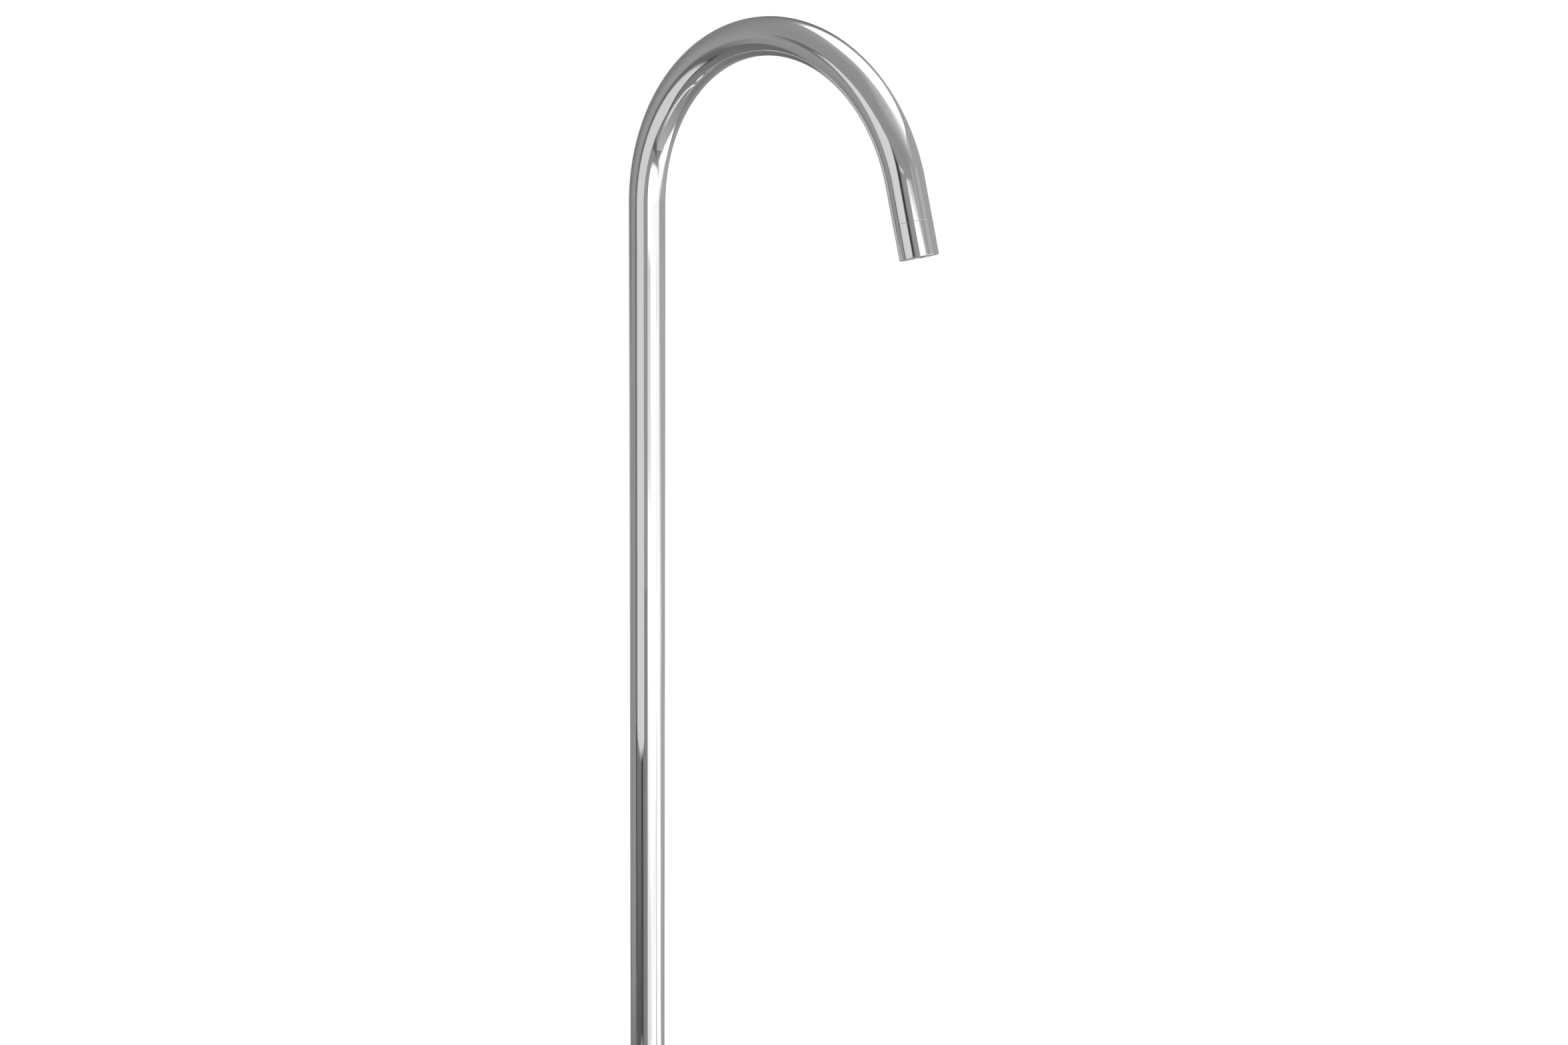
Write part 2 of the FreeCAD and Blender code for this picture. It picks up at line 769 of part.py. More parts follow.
def holed_disc(name, low, high, pitch, hole):
    """A disc in the housing with a honeycomb of hexagonal holes, sized by a pitch and a hole."""
    radius, low, high = value("grid_radius"), value(low), value(high)
    corner = hole / 2 / math.cos(math.radians(30))
    turns = [math.radians(30 + 60 * number) for number in range(7)]
    spokes = [VECTOR(math.cos(turn), math.sin(turn), 0) * corner for turn in turns]
    wires = [Part.Wire(Part.makeCircle(radius, VECTOR(0, 0, low)))]
    for across, along in hexagon_centres(pitch, radius - (pitch - hole) - corner):
        centre = VECTOR(across, along, low)
        wires.append(Part.makePolygon([centre + spoke for spoke in spokes]))
    disc = DOCUMENT.addObject("Part::Feature", name)
    disc.Label = name
    disc.Shape = Part.makeFace(wires, "Part::FaceMakerBullseye").extrude(VECTOR(0, 0, high - low))
    print(f"{name}: {len(wires) - 1} holes")
    return put_on_nose(disc)


def straightener_grid():
    """The honeycomb of long hexagonal cells that makes the stream clear and straight."""
    pitch = value("cell_pitch")
    return holed_disc("straightener_grid", "grid_top", "housing_ledge_s", pitch, pitch - value("cell_web"))


def filter_screen():
    """The fine screen that lies on the grid."""
    pitch, hole = value("screen_pitch"), value("screen_hole")
    return holed_disc("filter_screen", "grid_top - screen_thickness", "grid_top", pitch, hole)


# The whole ----------------------------------------------------------------------------------------

def build_parts():
    """Every sub-part, from the floor up and out along the spout."""
    return [
        floor_gasket(),
        base_plate(),
        inlet_spigot(),
        spigot_screws(),
        bearing_ring("lower_bearing", "lower_bearing_height"),
        bearing_ring("upper_bearing", "upper_bearing_height"),
        post_ring("lower_o_ring", "lower_ring_height"),
        post_ring("upper_o_ring", "upper_ring_height"),
        thrust_washer(),
        cover_flange(),
        cover_ring(),
        riser_socket(),
        spout_tube(),
        stop_screw(),
        nose_adapter(),
        nose_ring(),
        outlet_nose(),
        straightener_washer(),
        filter_screen(),
        straightener_grid(),
        straightener_housing(),
    ]


def check_document():
    """Stop if any object of the document has failed."""
    DOCUMENT.recompute()
    for item in DOCUMENT.Objects:
        if "Invalid" in item.State or "Error" in item.State:
            raise RuntimeError(f"{item.Name}: {item.State}")


def check_parts(parts):
    """Stop if a sub-part's shape is missing or not valid."""
    for part in parts:
        if part.Shape.isNull() or not part.Shape.isValid() or part.Shape.Volume <= 0:
            raise RuntimeError(f"{part.Label}: the shape is not a valid solid")


def write_parts(parts):
    """Write each sub-part to its own STEP file."""
    os.makedirs("parts", exist_ok=True)
    for part in parts:
        part.Shape.exportStep(f"parts/{part.Label}.step")
        box = part.Shape.optimalBoundingBox(False)
        print(
            f"{part.Label}: {len(part.Shape.Solids)} solid(s), {part.Shape.Volume / 1000:.2f} cm3, "
            f"x {box.XMin:.1f} to {box.XMax:.1f}, z {box.ZMin:.1f} to {box.ZMax:.1f}"
        )


PARTS = build_parts()
check_document()
check_parts(PARTS)
write_parts(PARTS)
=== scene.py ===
"""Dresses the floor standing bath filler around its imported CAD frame, in metres.

Every piece is modelled again as a smooth, softened mesh in the place that its CAD node holds,
apart from the straightener's grid and screen, which keep their CAD meshes in finishes of their
own.  Polished chrome shows nothing but what it reflects, so a studio of grey and white cards
stands round the object, and only reflections see them.
"""
import logging
import math
from dataclasses import dataclass, field, replace
from enum import Enum
from typing import Any, Callable, Iterable, Optional, Sequence

import bmesh
import bpy
from mathutils import Matrix, Vector


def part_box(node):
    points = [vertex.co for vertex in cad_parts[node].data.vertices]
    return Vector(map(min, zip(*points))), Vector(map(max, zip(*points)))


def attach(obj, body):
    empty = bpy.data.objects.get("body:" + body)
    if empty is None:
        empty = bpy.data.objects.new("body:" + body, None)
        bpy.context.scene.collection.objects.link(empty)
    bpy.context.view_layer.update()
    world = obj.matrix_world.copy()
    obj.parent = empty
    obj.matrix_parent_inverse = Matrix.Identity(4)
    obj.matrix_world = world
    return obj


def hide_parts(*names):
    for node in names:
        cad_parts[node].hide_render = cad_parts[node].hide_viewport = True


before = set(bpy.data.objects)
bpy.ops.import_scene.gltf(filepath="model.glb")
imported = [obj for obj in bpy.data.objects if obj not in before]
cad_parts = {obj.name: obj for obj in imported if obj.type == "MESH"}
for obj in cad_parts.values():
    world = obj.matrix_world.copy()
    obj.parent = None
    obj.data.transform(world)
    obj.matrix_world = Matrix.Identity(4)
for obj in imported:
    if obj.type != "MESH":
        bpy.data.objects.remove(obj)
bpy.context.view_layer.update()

LOG = logging.getLogger("bath_filler")
MM = 0.001
NEAR = 0.02 * MM  # a vertex within this of a place counts as on it
WELD = 0.0005 * MM  # vertices within this of each other are joined
OVERCUT = 1.0 * MM  # how far a cutter stands out of the work
STOP_HEIGHT = 40.0 * MM  # the stop screw's axis above the floor
STOP_HOLE = 2.55 * MM  # the radius of the stop screw's hole
RIDGE_SHARES = (0.1, 0.45, 0.55, 0.9)  # the corners of one turn of a thread, over its pitch

# Facets round the axis, and round an O-ring's section.
RING_SIDES = 128
WIDE_SIDES = 160
COVER_SIDES = 224
SEAL_SIDES = 112
SEAL_CORNERS = 20
SOLID_SIDES = 48
HOLE_SIDES = 40

# The tones that the cards and the tent are given in, and the sRGB curve that makes light of them.
FULL_TONE = 255.0
SRGB_OFFSET = 0.055
SRGB_SCALE = 1.055
SRGB_POWER = 2.4
PURE_WHITE = (1.0, 1.0, 1.0)

Outline = Sequence[tuple[float, float]]
Colour = tuple[float, float, float]


class Body(Enum):
    """The bodies that a piece can ride on."""

    BASE = "base"
    COVER = "cover"
    SPOUT = "spout"


# Shader maths -----------------------------------------------------------------------------------


class Term:
    """A socket that adds Math nodes when Python's operators are used on it."""

    def __init__(self, graph: "Graph", socket: bpy.types.NodeSocket) -> None:
        """Wraps one output socket of a graph.

        Args:
            graph: The graph that the socket belongs to.
            socket: The output socket.
        """
        self.graph = graph
        self.socket = socket

    def _math(self, operation: str, *values: Any) -> "Term":
        """Adds one Math node.

        Args:
            operation: The Math node's operation.
            values: Its inputs, as terms or numbers.

        Returns:
            The node's output.
        """
        inputs = dict(enumerate(values))
        return self.graph.node("ShaderNodeMath", {"operation": operation}, inputs)

    def __add__(self, other: Any) -> "Term":
        """The sum."""
        return self._math("ADD", self, other)

    __radd__ = __add__

    def __sub__(self, other: Any) -> "Term":
        """The difference."""
        return self._math("SUBTRACT", self, other)

    def __rsub__(self, other: Any) -> "Term":
        """The difference the other way round."""
        return self._math("SUBTRACT", other, self)

    def __mul__(self, other: Any) -> "Term":
        """The product."""
        return self._math("MULTIPLY", self, other)

    __rmul__ = __mul__

    def __pow__(self, other: Any) -> "Term":
        """The power."""
        return self._math("POWER", self, other)

    def above(self, limit: float) -> "Term":
        """1 where this is over a limit, and 0 elsewhere."""
        return self._math("GREATER_THAN", self, limit)

    def at_most(self, other: Any) -> "Term":
        """The smaller of this and another value."""
        return self._math("MINIMUM", self, other)

    def at_least(self, other: Any) -> "Term":
        """The larger of this and another value."""
        return self._math("MAXIMUM", self, other)

    def sine(self) -> "Term":
        """The sine."""
        return self._math("SINE", self)

    def root(self) -> "Term":
        """The square root."""
        return self._math("SQRT", self)

    def eased(self) -> "Term":
        """The value held between 0 and 1, easing at both ends."""
        held = self.at_least(0.0).at_most(1.0)
        return held * held * (3.0 - 2.0 * held)


class Graph:
    """A node tree that is filled in by code."""

    def __init__(self, tree: bpy.types.NodeTree) -> None:
        """Empties a tree and keeps it.

        Args:
            tree: The node tree of a material or the world.
        """
        self.tree = tree
        tree.nodes.clear()

    def node(self, kind: str, settings: Optional[dict] = None, inputs: Optional[dict] = None,
             output: Any = 0) -> Term:
        """Adds any node.

        Args:
            kind: The node's type.
            settings: Properties to set before the inputs, a ramp's stops among them.
            inputs: Values, terms or colours by the input's name or number.
            output: The name or number of the output wanted.

        Returns:
            That output.
        """
        made = self.tree.nodes.new(kind)
        for name, setting in (settings or {}).items():
            if name == "stops":
                self.set_stops(made.color_ramp, setting)
            else:
                setattr(made, name, setting)
        for name, given in (inputs or {}).items():
            self.put(made.inputs[name], given)
        return Term(self, made.outputs[output] if len(made.outputs) else None)

    @staticmethod
    def set_stops(band: bpy.types.ColorRamp, stops: Sequence[tuple[float, Any]]) -> None:
        """Gives a ramp its stops.

        Args:
            band: The ramp.
            stops: Pairs of a position and a grey or a colour.
        """
        while len(band.elements) > 1:
            band.elements.remove(band.elements[-1])
        for number, (position, tint) in enumerate(stops):
            stop = band.elements[0] if number == 0 else band.elements.new(position)
            stop.position = position
            stop.color = (*tint, 1.0) if isinstance(tint, tuple) else (tint, tint, tint, 1.0)

    def put(self, socket: bpy.types.NodeSocket, given: Any) -> None:
        """Links a term to a socket, or sets its value.

        Args:
            socket: The input socket.
            given: A term, a number or a colour.
        """
        if isinstance(given, Term):
            self.tree.links.new(given.socket, socket)
        elif isinstance(given, tuple) and len(socket.default_value) == 4 and len(given) == 3:
            socket.default_value = (*given, 1.0)
        else:
            socket.default_value = given

    def ramp(self, factor: Term, stops: Sequence[tuple[float, Any]]) -> Term:
        """A Color Ramp, whose stops are pairs of a position and a grey or a colour."""
        return self.node("ShaderNodeValToRGB", {"stops": stops}, {"Fac": factor}, "Color")

    def mix(self, factor: Any, first: Any, second: Any) -> Term:
        """A colour between two colours."""
        inputs = {"Factor": factor, 6: first, 7: second}
        return self.node("ShaderNodeMix", {"data_type": "RGBA"}, inputs, 2)

    def noise(self, scale: float, detail: float = 2.0, vector: Optional[Term] = None) -> Term:
        """Noise from 0 to 1.

        Args:
            scale: Cells per metre.
            detail: The noise's octaves.
            vector: Where it is read, or None for the object's coordinates.

        Returns:
            The noise's value.
        """
        inputs = {"Vector": vector or self.position(), "Scale": scale, "Detail": detail}
        return self.node("ShaderNodeTexNoise", {}, inputs)

    def patches(self, noise: Term, levels: tuple[float, float]) -> Term:
        """Patches that come in between two levels of a noise."""
        return self.ramp(noise, [(levels[0], 0.0), (levels[1], 1.0)])

    def bump(self, height: Term, distance: float) -> Term:
        """A normal that stands up with a height.

        Args:
            height: The height, from 0 to 1.
            distance: What a height of 1 is, in metres.

        Returns:
            The normal.
        """
        return self.node("ShaderNodeBump", {}, {"Height": height, "Distance": distance})

    def skin(self, colour: Term, roughness: Term, normal: Term, metallic: float = 1.0) -> Term:
        """The shader of an opaque surface, metal unless it is said not to be."""
        inputs = {"Base Color": colour, "Metallic": metallic, "Roughness": roughness,
                  "Normal": normal}
        return self.node("ShaderNodeBsdfPrincipled", {}, inputs)

    def glow(self, colour: Any, strength: Any) -> Term:
        """Light that a surface gives off."""
        return self.node("ShaderNodeEmission", {}, {"Color": colour, "Strength": strength})

    def position(self) -> Term:
        """The object's coordinates."""
        return self.node("ShaderNodeTexCoord", output="Object")

    def stretched(self, scale: Colour) -> Term:
        """The object's coordinates, scaled along each axis."""
        return self.node("ShaderNodeMapping", {}, {"Vector": self.position(), "Scale": scale})

    def placed(self, centre: Colour, tilt: float) -> Term:
        """The object's coordinates as seen from a point and an axis tilted about Y."""
        inputs = {"Vector": self.position(), "Location": centre, "Rotation": (0.0, tilt, 0.0)}
        return self.node("ShaderNodeMapping", {"vector_type": "TEXTURE"}, inputs)

    def axes(self, vector: Term) -> tuple[Term, ...]:
        """A vector's three values."""
        first = self.node("ShaderNodeSeparateXYZ", {}, {0: vector})
        return tuple(Term(self, socket) for socket in first.socket.node.outputs)


def made_material(name: str, surface: Callable[[Graph], Term]) -> bpy.types.Material:
    """Makes a material.

    Args:
        name: Its name.
        surface: Fills a graph and gives the shader's output.

    Returns:
        The material.
    """
    made = bpy.data.materials.new(name)
    made.use_nodes = True
    graph = Graph(made.node_tree)
    graph.node("ShaderNodeOutputMaterial", {}, {"Surface": surface(graph)})
    return made


# Finishes ---------------------------------------------------------------------------------------


class Finish:
    """A material that is built once and shared."""

    name = "finish"

    def material(self) -> bpy.types.Material:
        """The finish's material, made on the first call."""
        return bpy.data.materials.get(self.name) or made_material(self.name, self.surface)

    def surface(self, graph: Graph) -> Term:
        """The finish's shader.

        Args:
            graph: The material's graph.

        Returns:
            The shader's output.
        """
        raise NotImplementedError

    def dress(self, piece: bpy.types.Object) -> None:
        """Gives every slot of a piece this finish."""
        made = self.material()
        if not piece.material_slots:
            piece.data.materials.append(made)
        for held in piece.material_slots:
            held.material = made


@dataclass(frozen=True)
class PolishedChrome(Finish):
    """Bright chrome plate over polished brass."""

    name: str = "polished_chrome"
    tint: Colour = (0.86, 0.862, 0.865)
    dulled: Colour = (0.835, 0.838, 0.842)
    roughness: float = 0.016
    wiped: float = 0.05
    wave_height: float = 0.003 * MM
    wave_scale: float = 26.0
    upright: Colour = (1.0, 1.0, 0.3)
    haze_scale: float = 8.0
    haze_levels: tuple[float, float] = (0.5, 0.72)
    haze_share: float = 0.5
    speck_scale: float = 800.0

    def surface(self, graph: Graph) -> Term:
        """Clear plate with the faint haze of wiping and the slow waves of polishing.

        Args:
            graph: The material's graph.

        Returns:
            The shader's output.
        """
        haze = graph.noise(self.haze_scale, 3.0, graph.stretched(self.upright))
        smear = graph.patches(haze, self.haze_levels)
        specks = graph.noise(self.speck_scale)
        waves = graph.noise(self.wave_scale, 1.0, graph.stretched(self.upright))
        colour = graph.mix(smear * self.haze_share, self.tint, self.dulled)
        roughness = self.roughness + smear * self.wiped * specks
        return graph.skin(colour, roughness, graph.bump(waves, self.wave_height))


@dataclass(frozen=True)
class TurnedMetal(Finish):
    """Bare metal with the rings that a lathe leaves about an axis."""

    name: str = "turned_metal"
    light: Colour = (0.62, 0.62, 0.61)
    dark: Colour = (0.5, 0.5, 0.5)
    roughness: float = 0.26
    pitch: float = 0.35 * MM
    centre: Colour = (0.0, 0.0, 0.0)
    tilt: float = 0.0
    depth: float = 0.012 * MM
    ring_scale: float = 320.0
    ring_roughness: float = 0.06
    stain_scale: float = 45.0
    stain_levels: tuple[float, float] = (0.42, 0.7)
    stain_share: float = 0.7
    stain_roughness: float = 0.12

    def surface(self, graph: Graph) -> Term:
        """Fine rings, uneven in depth, under a little staining.

        Args:
            graph: The material's graph.

        Returns:
            The shader's output.
        """
        across, along, height = graph.axes(graph.placed(self.centre, self.tilt))
        reach = (across * across + along * along).root()
        groove = ((reach + height) * (math.tau / self.pitch)).sine()
        rings = (groove * 0.5 + 0.5) * graph.noise(self.ring_scale, 3.0)
        stain = graph.patches(graph.noise(self.stain_scale, 4.0), self.stain_levels)
        colour = graph.mix(stain * self.stain_share, self.light, self.dark)
        roughness = self.roughness + stain * self.stain_roughness + rings * self.ring_roughness
        return graph.skin(colour, roughness, graph.bump(rings, self.depth))


@dataclass(frozen=True)
class TumbledMetal(Finish):
    """Small stainless pieces, dulled evenly in a tumbling drum."""

    name: str = "tumbled_steel"
    light: Colour = (0.6, 0.6, 0.595)
    dark: Colour = (0.44, 0.44, 0.44)
    roughness: float = 0.24
    grain: float = 3800.0
    depth: float = 0.006 * MM
    dent_roughness: float = 0.06
    patch_scale: float = 260.0
    patch_levels: tuple[float, float] = (0.4, 0.7)
    patch_share: float = 0.6
    patch_roughness: float = 0.1

    def surface(self, graph: Graph) -> Term:
        """Fine dents all over, darker in patches.

        Args:
            graph: The material's graph.

        Returns:
            The shader's output.
        """
        dents = graph.noise(self.grain)
        patches = graph.patches(graph.noise(self.patch_scale, 3.0), self.patch_levels)
        colour = graph.mix(patches * self.patch_share, self.light, self.dark)
        roughness = self.roughness + patches * self.patch_roughness + dents * self.dent_roughness
        return graph.skin(colour, roughness, graph.bump(dents, self.depth))


@dataclass(frozen=True)
class Moulded(Finish):
    """Moulded plastic or rubber: fine grain, soft blotches and a little dust."""

    name: str = "moulded"
    colour: Colour = (0.5, 0.52, 0.54)
    worn: Colour = (0.58, 0.6, 0.62)
    roughness: float = 0.42
    grain: float = 2600.0
    depth: float = 0.015 * MM
    grain_roughness: float = 0.08
    blotch_scale: float = 70.0
    blotch_levels: tuple[float, float] = (0.45, 0.75)
    blotch_share: float = 0.6
    blotch_roughness: float = 0.15

    def surface(self, graph: Graph) -> Term:
        """Grained skin with blotches of dust.

        Args:
            graph: The material's graph.

        Returns:
            The shader's output.
        """
        blotches = graph.patches(graph.noise(self.blotch_scale, 4.0), self.blotch_levels)
        grain = graph.noise(self.grain, 3.0)
        colour = graph.mix(blotches * self.blotch_share, self.colour, self.worn)
        roughness = self.roughness + blotches * self.blotch_roughness + grain * self.grain_roughness
        return graph.skin(colour, roughness, graph.bump(grain, self.depth), 0.0)


CHROME = PolishedChrome()
BRASS = TurnedMetal("turned_brass", (0.79, 0.65, 0.35), (0.6, 0.46, 0.23), 0.2)
STEEL = TurnedMetal("turned_steel", (0.63, 0.63, 0.62), (0.5, 0.5, 0.5), 0.27)
BRIGHT_STEEL = TumbledMetal()
BLACK_RUBBER = Moulded("black_rubber", (0.022, 0.022, 0.024), (0.05, 0.05, 0.052), 0.6)
WHITE_ACETAL = Moulded("white_acetal", (0.82, 0.81, 0.77), (0.76, 0.75, 0.7), 0.36)
GREY_ACETAL = Moulded("grey_acetal", (0.4, 0.42, 0.44), (0.47, 0.49, 0.51), 0.34)


# Modelling --------------------------------------------------------------------------------------


def deselect() -> None:
    """Deselects every object, so that an operator acts on the new piece alone."""
    bpy.ops.object.select_all(action="DESELECT")


def added(name: str, primitive: Callable[..., Any], **sizes: Any) -> bpy.types.Object:
    """Adds a primitive with nothing else selected.

    Args:
        name: Its name.
        primitive: The operator that adds it.
        sizes: The operator's settings.

    Returns:
        The new object.
    """
    deselect()
    primitive(**sizes)
    made = bpy.context.view_layer.objects.active
    made.name = name
    return made


class Workpiece:
    """A mesh that is shaped in edit mode by Blender's own operators."""

    def __init__(self, name: str, radius: float, height: float, sides: int) -> None:
        """Adds a ring of edges about Z and opens it in edit mode.

        Args:
            name: The piece's name.
            radius: The ring's radius.
            height: Its height.
            sides: Its edges.
        """
        self.name = name
        self.object = added(name, bpy.ops.mesh.primitive_circle_add, vertices=sides, radius=radius,
                            fill_type="NOTHING", location=(0, 0, height))
        self.object.data.name = name
        bpy.ops.object.transform_apply(location=True, rotation=True, scale=True)
        bpy.ops.object.mode_set(mode="EDIT")
        bpy.ops.mesh.select_mode(type="EDGE")
        bpy.ops.mesh.select_all(action="SELECT")

    def draw_on(self, move: Vector) -> None:
        """Extrudes the selected ring by a vector."""
        bpy.ops.mesh.extrude_region_move(TRANSFORM_OT_translate={"value": tuple(move)})

    def ring_to(self, start: tuple[float, float], stop: tuple[float, float]) -> None:
        """Extrudes the selected ring from one radius and height to another.

        Args:
            start: The ring's radius and height now.
            stop: The radius and height of the new ring.
        """
        self.draw_on(Vector((0, 0, stop[1] - start[1])))
        share = stop[0] / start[0]
        bpy.ops.transform.resize(value=(share, share, 1), center_override=(0, 0, stop[1]))

    def select(self, wanted: Callable[[bmesh.types.BMEdge], bool]) -> int:
        """Selects the edges that a test picks.

        Args:
            wanted: The test of an edge.

        Returns:
            How many edges were selected.
        """
        bpy.ops.mesh.select_all(action="DESELECT")
        mesh = bmesh.from_edit_mesh(self.object.data)
        picked = [edge for edge in mesh.edges if wanted(edge)]
        for edge in picked:
            edge.select_set(True)
        bmesh.update_edit_mesh(self.object.data)
        return len(picked)

    def soften(self, places: Outline, width: float, segments: int) -> None:
        """Bevels the rings at these radii and heights.

        Args:
            places: Pairs of a radius and a height.
            width: The bevel's width.
            segments: Its segments.

        Raises:
            ValueError: Where a ring isn't found.
        """

        def on_ring(edge: bmesh.types.BMEdge) -> bool:
            """Whether both ends of an edge lie on one of the rings."""
            for radius, height in places:
                ends = [(math.hypot(end.co.x, end.co.y) - radius, end.co.z - height)
                        for end in edge.verts]
                if all(abs(out) < NEAR and abs(up) < NEAR for out, up in ends):
                    return True
            return False

        if self.select(on_ring) < len(places):
            raise ValueError(f"{self.name} has no ring to soften at {places}")
        bpy.ops.mesh.bevel(offset=width, segments=segments, profile=0.5, affect="EDGES")

    def soften_each(self, *edges: tuple[float, float, float, int]) -> None:
        """Bevels rings one by one, each given by its radius, height, width and segments."""
        for radius, height, width, segments in edges:
            self.soften([(radius, height)], width, segments)

    def cap(self, height: float) -> None:
        """Closes the open ring at a height with a flat face."""
        self.select(lambda edge: edge.is_boundary
                    and all(abs(end.co.z - height) < NEAR for end in edge.verts))
        bpy.ops.mesh.edge_face_add()

    def sink(self, low: float, high: float, inside: Callable[[Vector], bool], share: float) -> None:
        """Pushes faces of a post in towards its axis, as a milled slot.

        Args:
            low: The slot's lower side.
            high: Its upper side.
            inside: Whether a face with this middle is in the slot.
            share: The slot's radius over the post's.
        """
        bpy.ops.mesh.select_mode(type="FACE")
        bpy.ops.mesh.select_all(action="DESELECT")
        mesh = bmesh.from_edit_mesh(self.object.data)
        for face in mesh.faces:
            middle = face.calc_center_median()
            if low < middle.z < high and inside(middle):
                face.select_set(True)
        bmesh.update_edit_mesh(self.object.data)
        bpy.ops.mesh.extrude_region_move()
        bpy.ops.transform.resize(value=(share, share, 1), center_override=(0, 0, 0))
        bpy.ops.mesh.select_mode(type="EDGE")

    def close(self) -> None:
        """Joins what meets, turns all faces outwards and leaves edit mode, unless that is done."""
        if self.object.mode != "EDIT":
            return
        bpy.ops.mesh.select_all(action="SELECT")
        bpy.ops.mesh.remove_doubles(threshold=WELD)
        bpy.ops.mesh.normals_make_consistent(inside=False)
        bpy.ops.object.mode_set(mode="OBJECT")

    def take_up(self) -> None:
        """Makes this the selected and active object."""
        deselect()
        self.object.select_set(True)
        bpy.context.view_layer.objects.active = self.object

    def modify(self, kind: str, **settings: Any) -> None:
        """Adds a modifier and applies it.

        Args:
            kind: The modifier's type.
            settings: Its properties.
        """
        self.take_up()
        modifier = self.object.modifiers.new(kind.lower(), kind)
        for name, setting in settings.items():
            setattr(modifier, name, setting)
        bpy.ops.object.modifier_apply(modifier=modifier.name)

    def smooth(self, angle: float = 32.0) -> None:
        """Shades the piece smooth, apart from edges sharper than an angle in degrees."""
        self.take_up()
        bpy.ops.object.shade_smooth_by_angle(angle=math.radians(angle))

    def polish(self) -> None:
        """Shades the piece smooth and keeps its flats flat between their softened edges."""
        self.smooth()
        self.modify("WEIGHTED_NORMAL", keep_sharp=True)

    def carry(self, matrix: Matrix) -> None:
        """Moves the mesh, and leaves its object at the origin."""
        self.take_up()
        self.object.matrix_world = matrix
        bpy.ops.object.transform_apply(location=True, rotation=True, scale=True)

    def cut(self, cutters: Iterable["Workpiece"]) -> None:
        """Takes other pieces out of this one and removes them.

        Args:
            cutters: The pieces to cut with.
        """
        for cutter in cutters:
            self.modify("BOOLEAN", operation="DIFFERENCE", solver="EXACT", object=cutter.object)
            bpy.data.objects.remove(cutter.object, do_unlink=True)

    def copy(self, name: str, matrix: Matrix) -> "Workpiece":
        """A copy of the finished piece in another place, with a mesh of its own.

        Args:
            name: The copy's name.
            matrix: Its place.

        Returns:
            The copy.
        """
        self.take_up()
        bpy.ops.object.duplicate(linked=False)
        twin = object.__new__(Workpiece)
        twin.name = name
        twin.object = bpy.context.view_layer.objects.active
        twin.object.name = name
        twin.object.data.name = name
        twin.carry(matrix)
        return twin


def lathe(name: str, outline: Outline, sides: int = RING_SIDES) -> Workpiece:
    """A closed ring whose section is an outline of radii and heights.

    Args:
        name: The piece's name.
        outline: The section's corners in order.
        sides: The facets round the axis.

    Returns:
        The piece, in edit mode.
    """
    piece = Workpiece(name, *outline[0], sides)
    for start, stop in zip(outline, [*outline[1:], outline[0]]):
        piece.ring_to(start, stop)
    bpy.ops.mesh.select_all(action="SELECT")
    bpy.ops.mesh.remove_doubles(threshold=WELD)
    return piece


def turned_solid(name: str, outline: Outline, sides: int = SOLID_SIDES) -> Workpiece:
    """A solid on the axis whose ends are flat.

    Args:
        name: The piece's name.
        outline: Radii and heights from one end to the other.
        sides: The facets round the axis.

    Returns:
        The piece, in edit mode.
    """
    piece = Workpiece(name, *outline[0], sides)
    for start, stop in zip(outline, outline[1:]):
        piece.ring_to(start, stop)
    piece.cap(outline[0][1])
    piece.cap(outline[-1][1])
    return piece


def plain_ring(name: str, inner: float, outer: float, low: float, high: float, edge: float,
               sides: int = RING_SIDES) -> Workpiece:
    """A ring of rectangular section with softened edges, in edit mode.

    Args:
        name: The piece's name.
        inner: Its bore's radius.
        outer: Its outer radius.
        low: Its lower face.
        high: Its upper face.
        edge: The width of its softened edges.
        sides: The facets round the axis.

    Returns:
        The piece, in edit mode.
    """
    corners = [(inner, low), (outer, low), (outer, high), (inner, high)]
    piece = lathe(name, corners, sides)
    piece.soften(corners, edge, 2)
    return piece


def o_ring(name: str, centre: float, section: float, height: float) -> Workpiece:
    """A round ring of round section, in edit mode.

    Args:
        name: The piece's name.
        centre: The radius of the section's middle.
        section: The section's diameter.
        height: The height of its middle.

    Returns:
        The piece, in edit mode.
    """
    corners = []
    for number in range(SEAL_CORNERS):
        turn = math.tau * number / SEAL_CORNERS
        out, up = section / 2 * math.cos(turn), section / 2 * math.sin(turn)
        corners.append((centre + out, height + up))
    return lathe(name, corners, SEAL_SIDES)


def thread(crest: float, root: float, low: float, high: float,
           pitch: float) -> list[tuple[float, float]]:
    """The corners of a thread's ridges, from its lower end to its upper end.

    Args:
        crest: The radius of the ridges.
        root: The radius between them.
        low: Where the thread starts.
        high: Where it ends.
        pitch: The height of one ridge.

    Returns:
        Radii and heights.
    """
    corners = []
    for number in range(int((high - low) / pitch)):
        foot = low + number * pitch
        heights = [foot + share * pitch for share in RIDGE_SHARES]
        corners += zip((crest, root, root, crest), heights)
    return corners


def drill(radius: float, low: float, high: float, sink: float = 0.0) -> Workpiece:
    """A cutter for a round hole, or for the hole of a flat head screw.

    Args:
        radius: The hole's radius.
        low: Where it starts, under the work.
        high: The work's upper face.
        sink: The radius of the cone's mouth, or 0 for a plain hole.

    Returns:
        The cutter, about Z.
    """
    over = high + OVERCUT
    outline = [(radius, low), (radius, over)]
    if sink:
        outline = [(radius, low), (radius, high - sink + radius), (sink, high), (sink, over)]
    piece = turned_solid("cutter", outline, HOLE_SIDES)
    piece.close()
    return piece


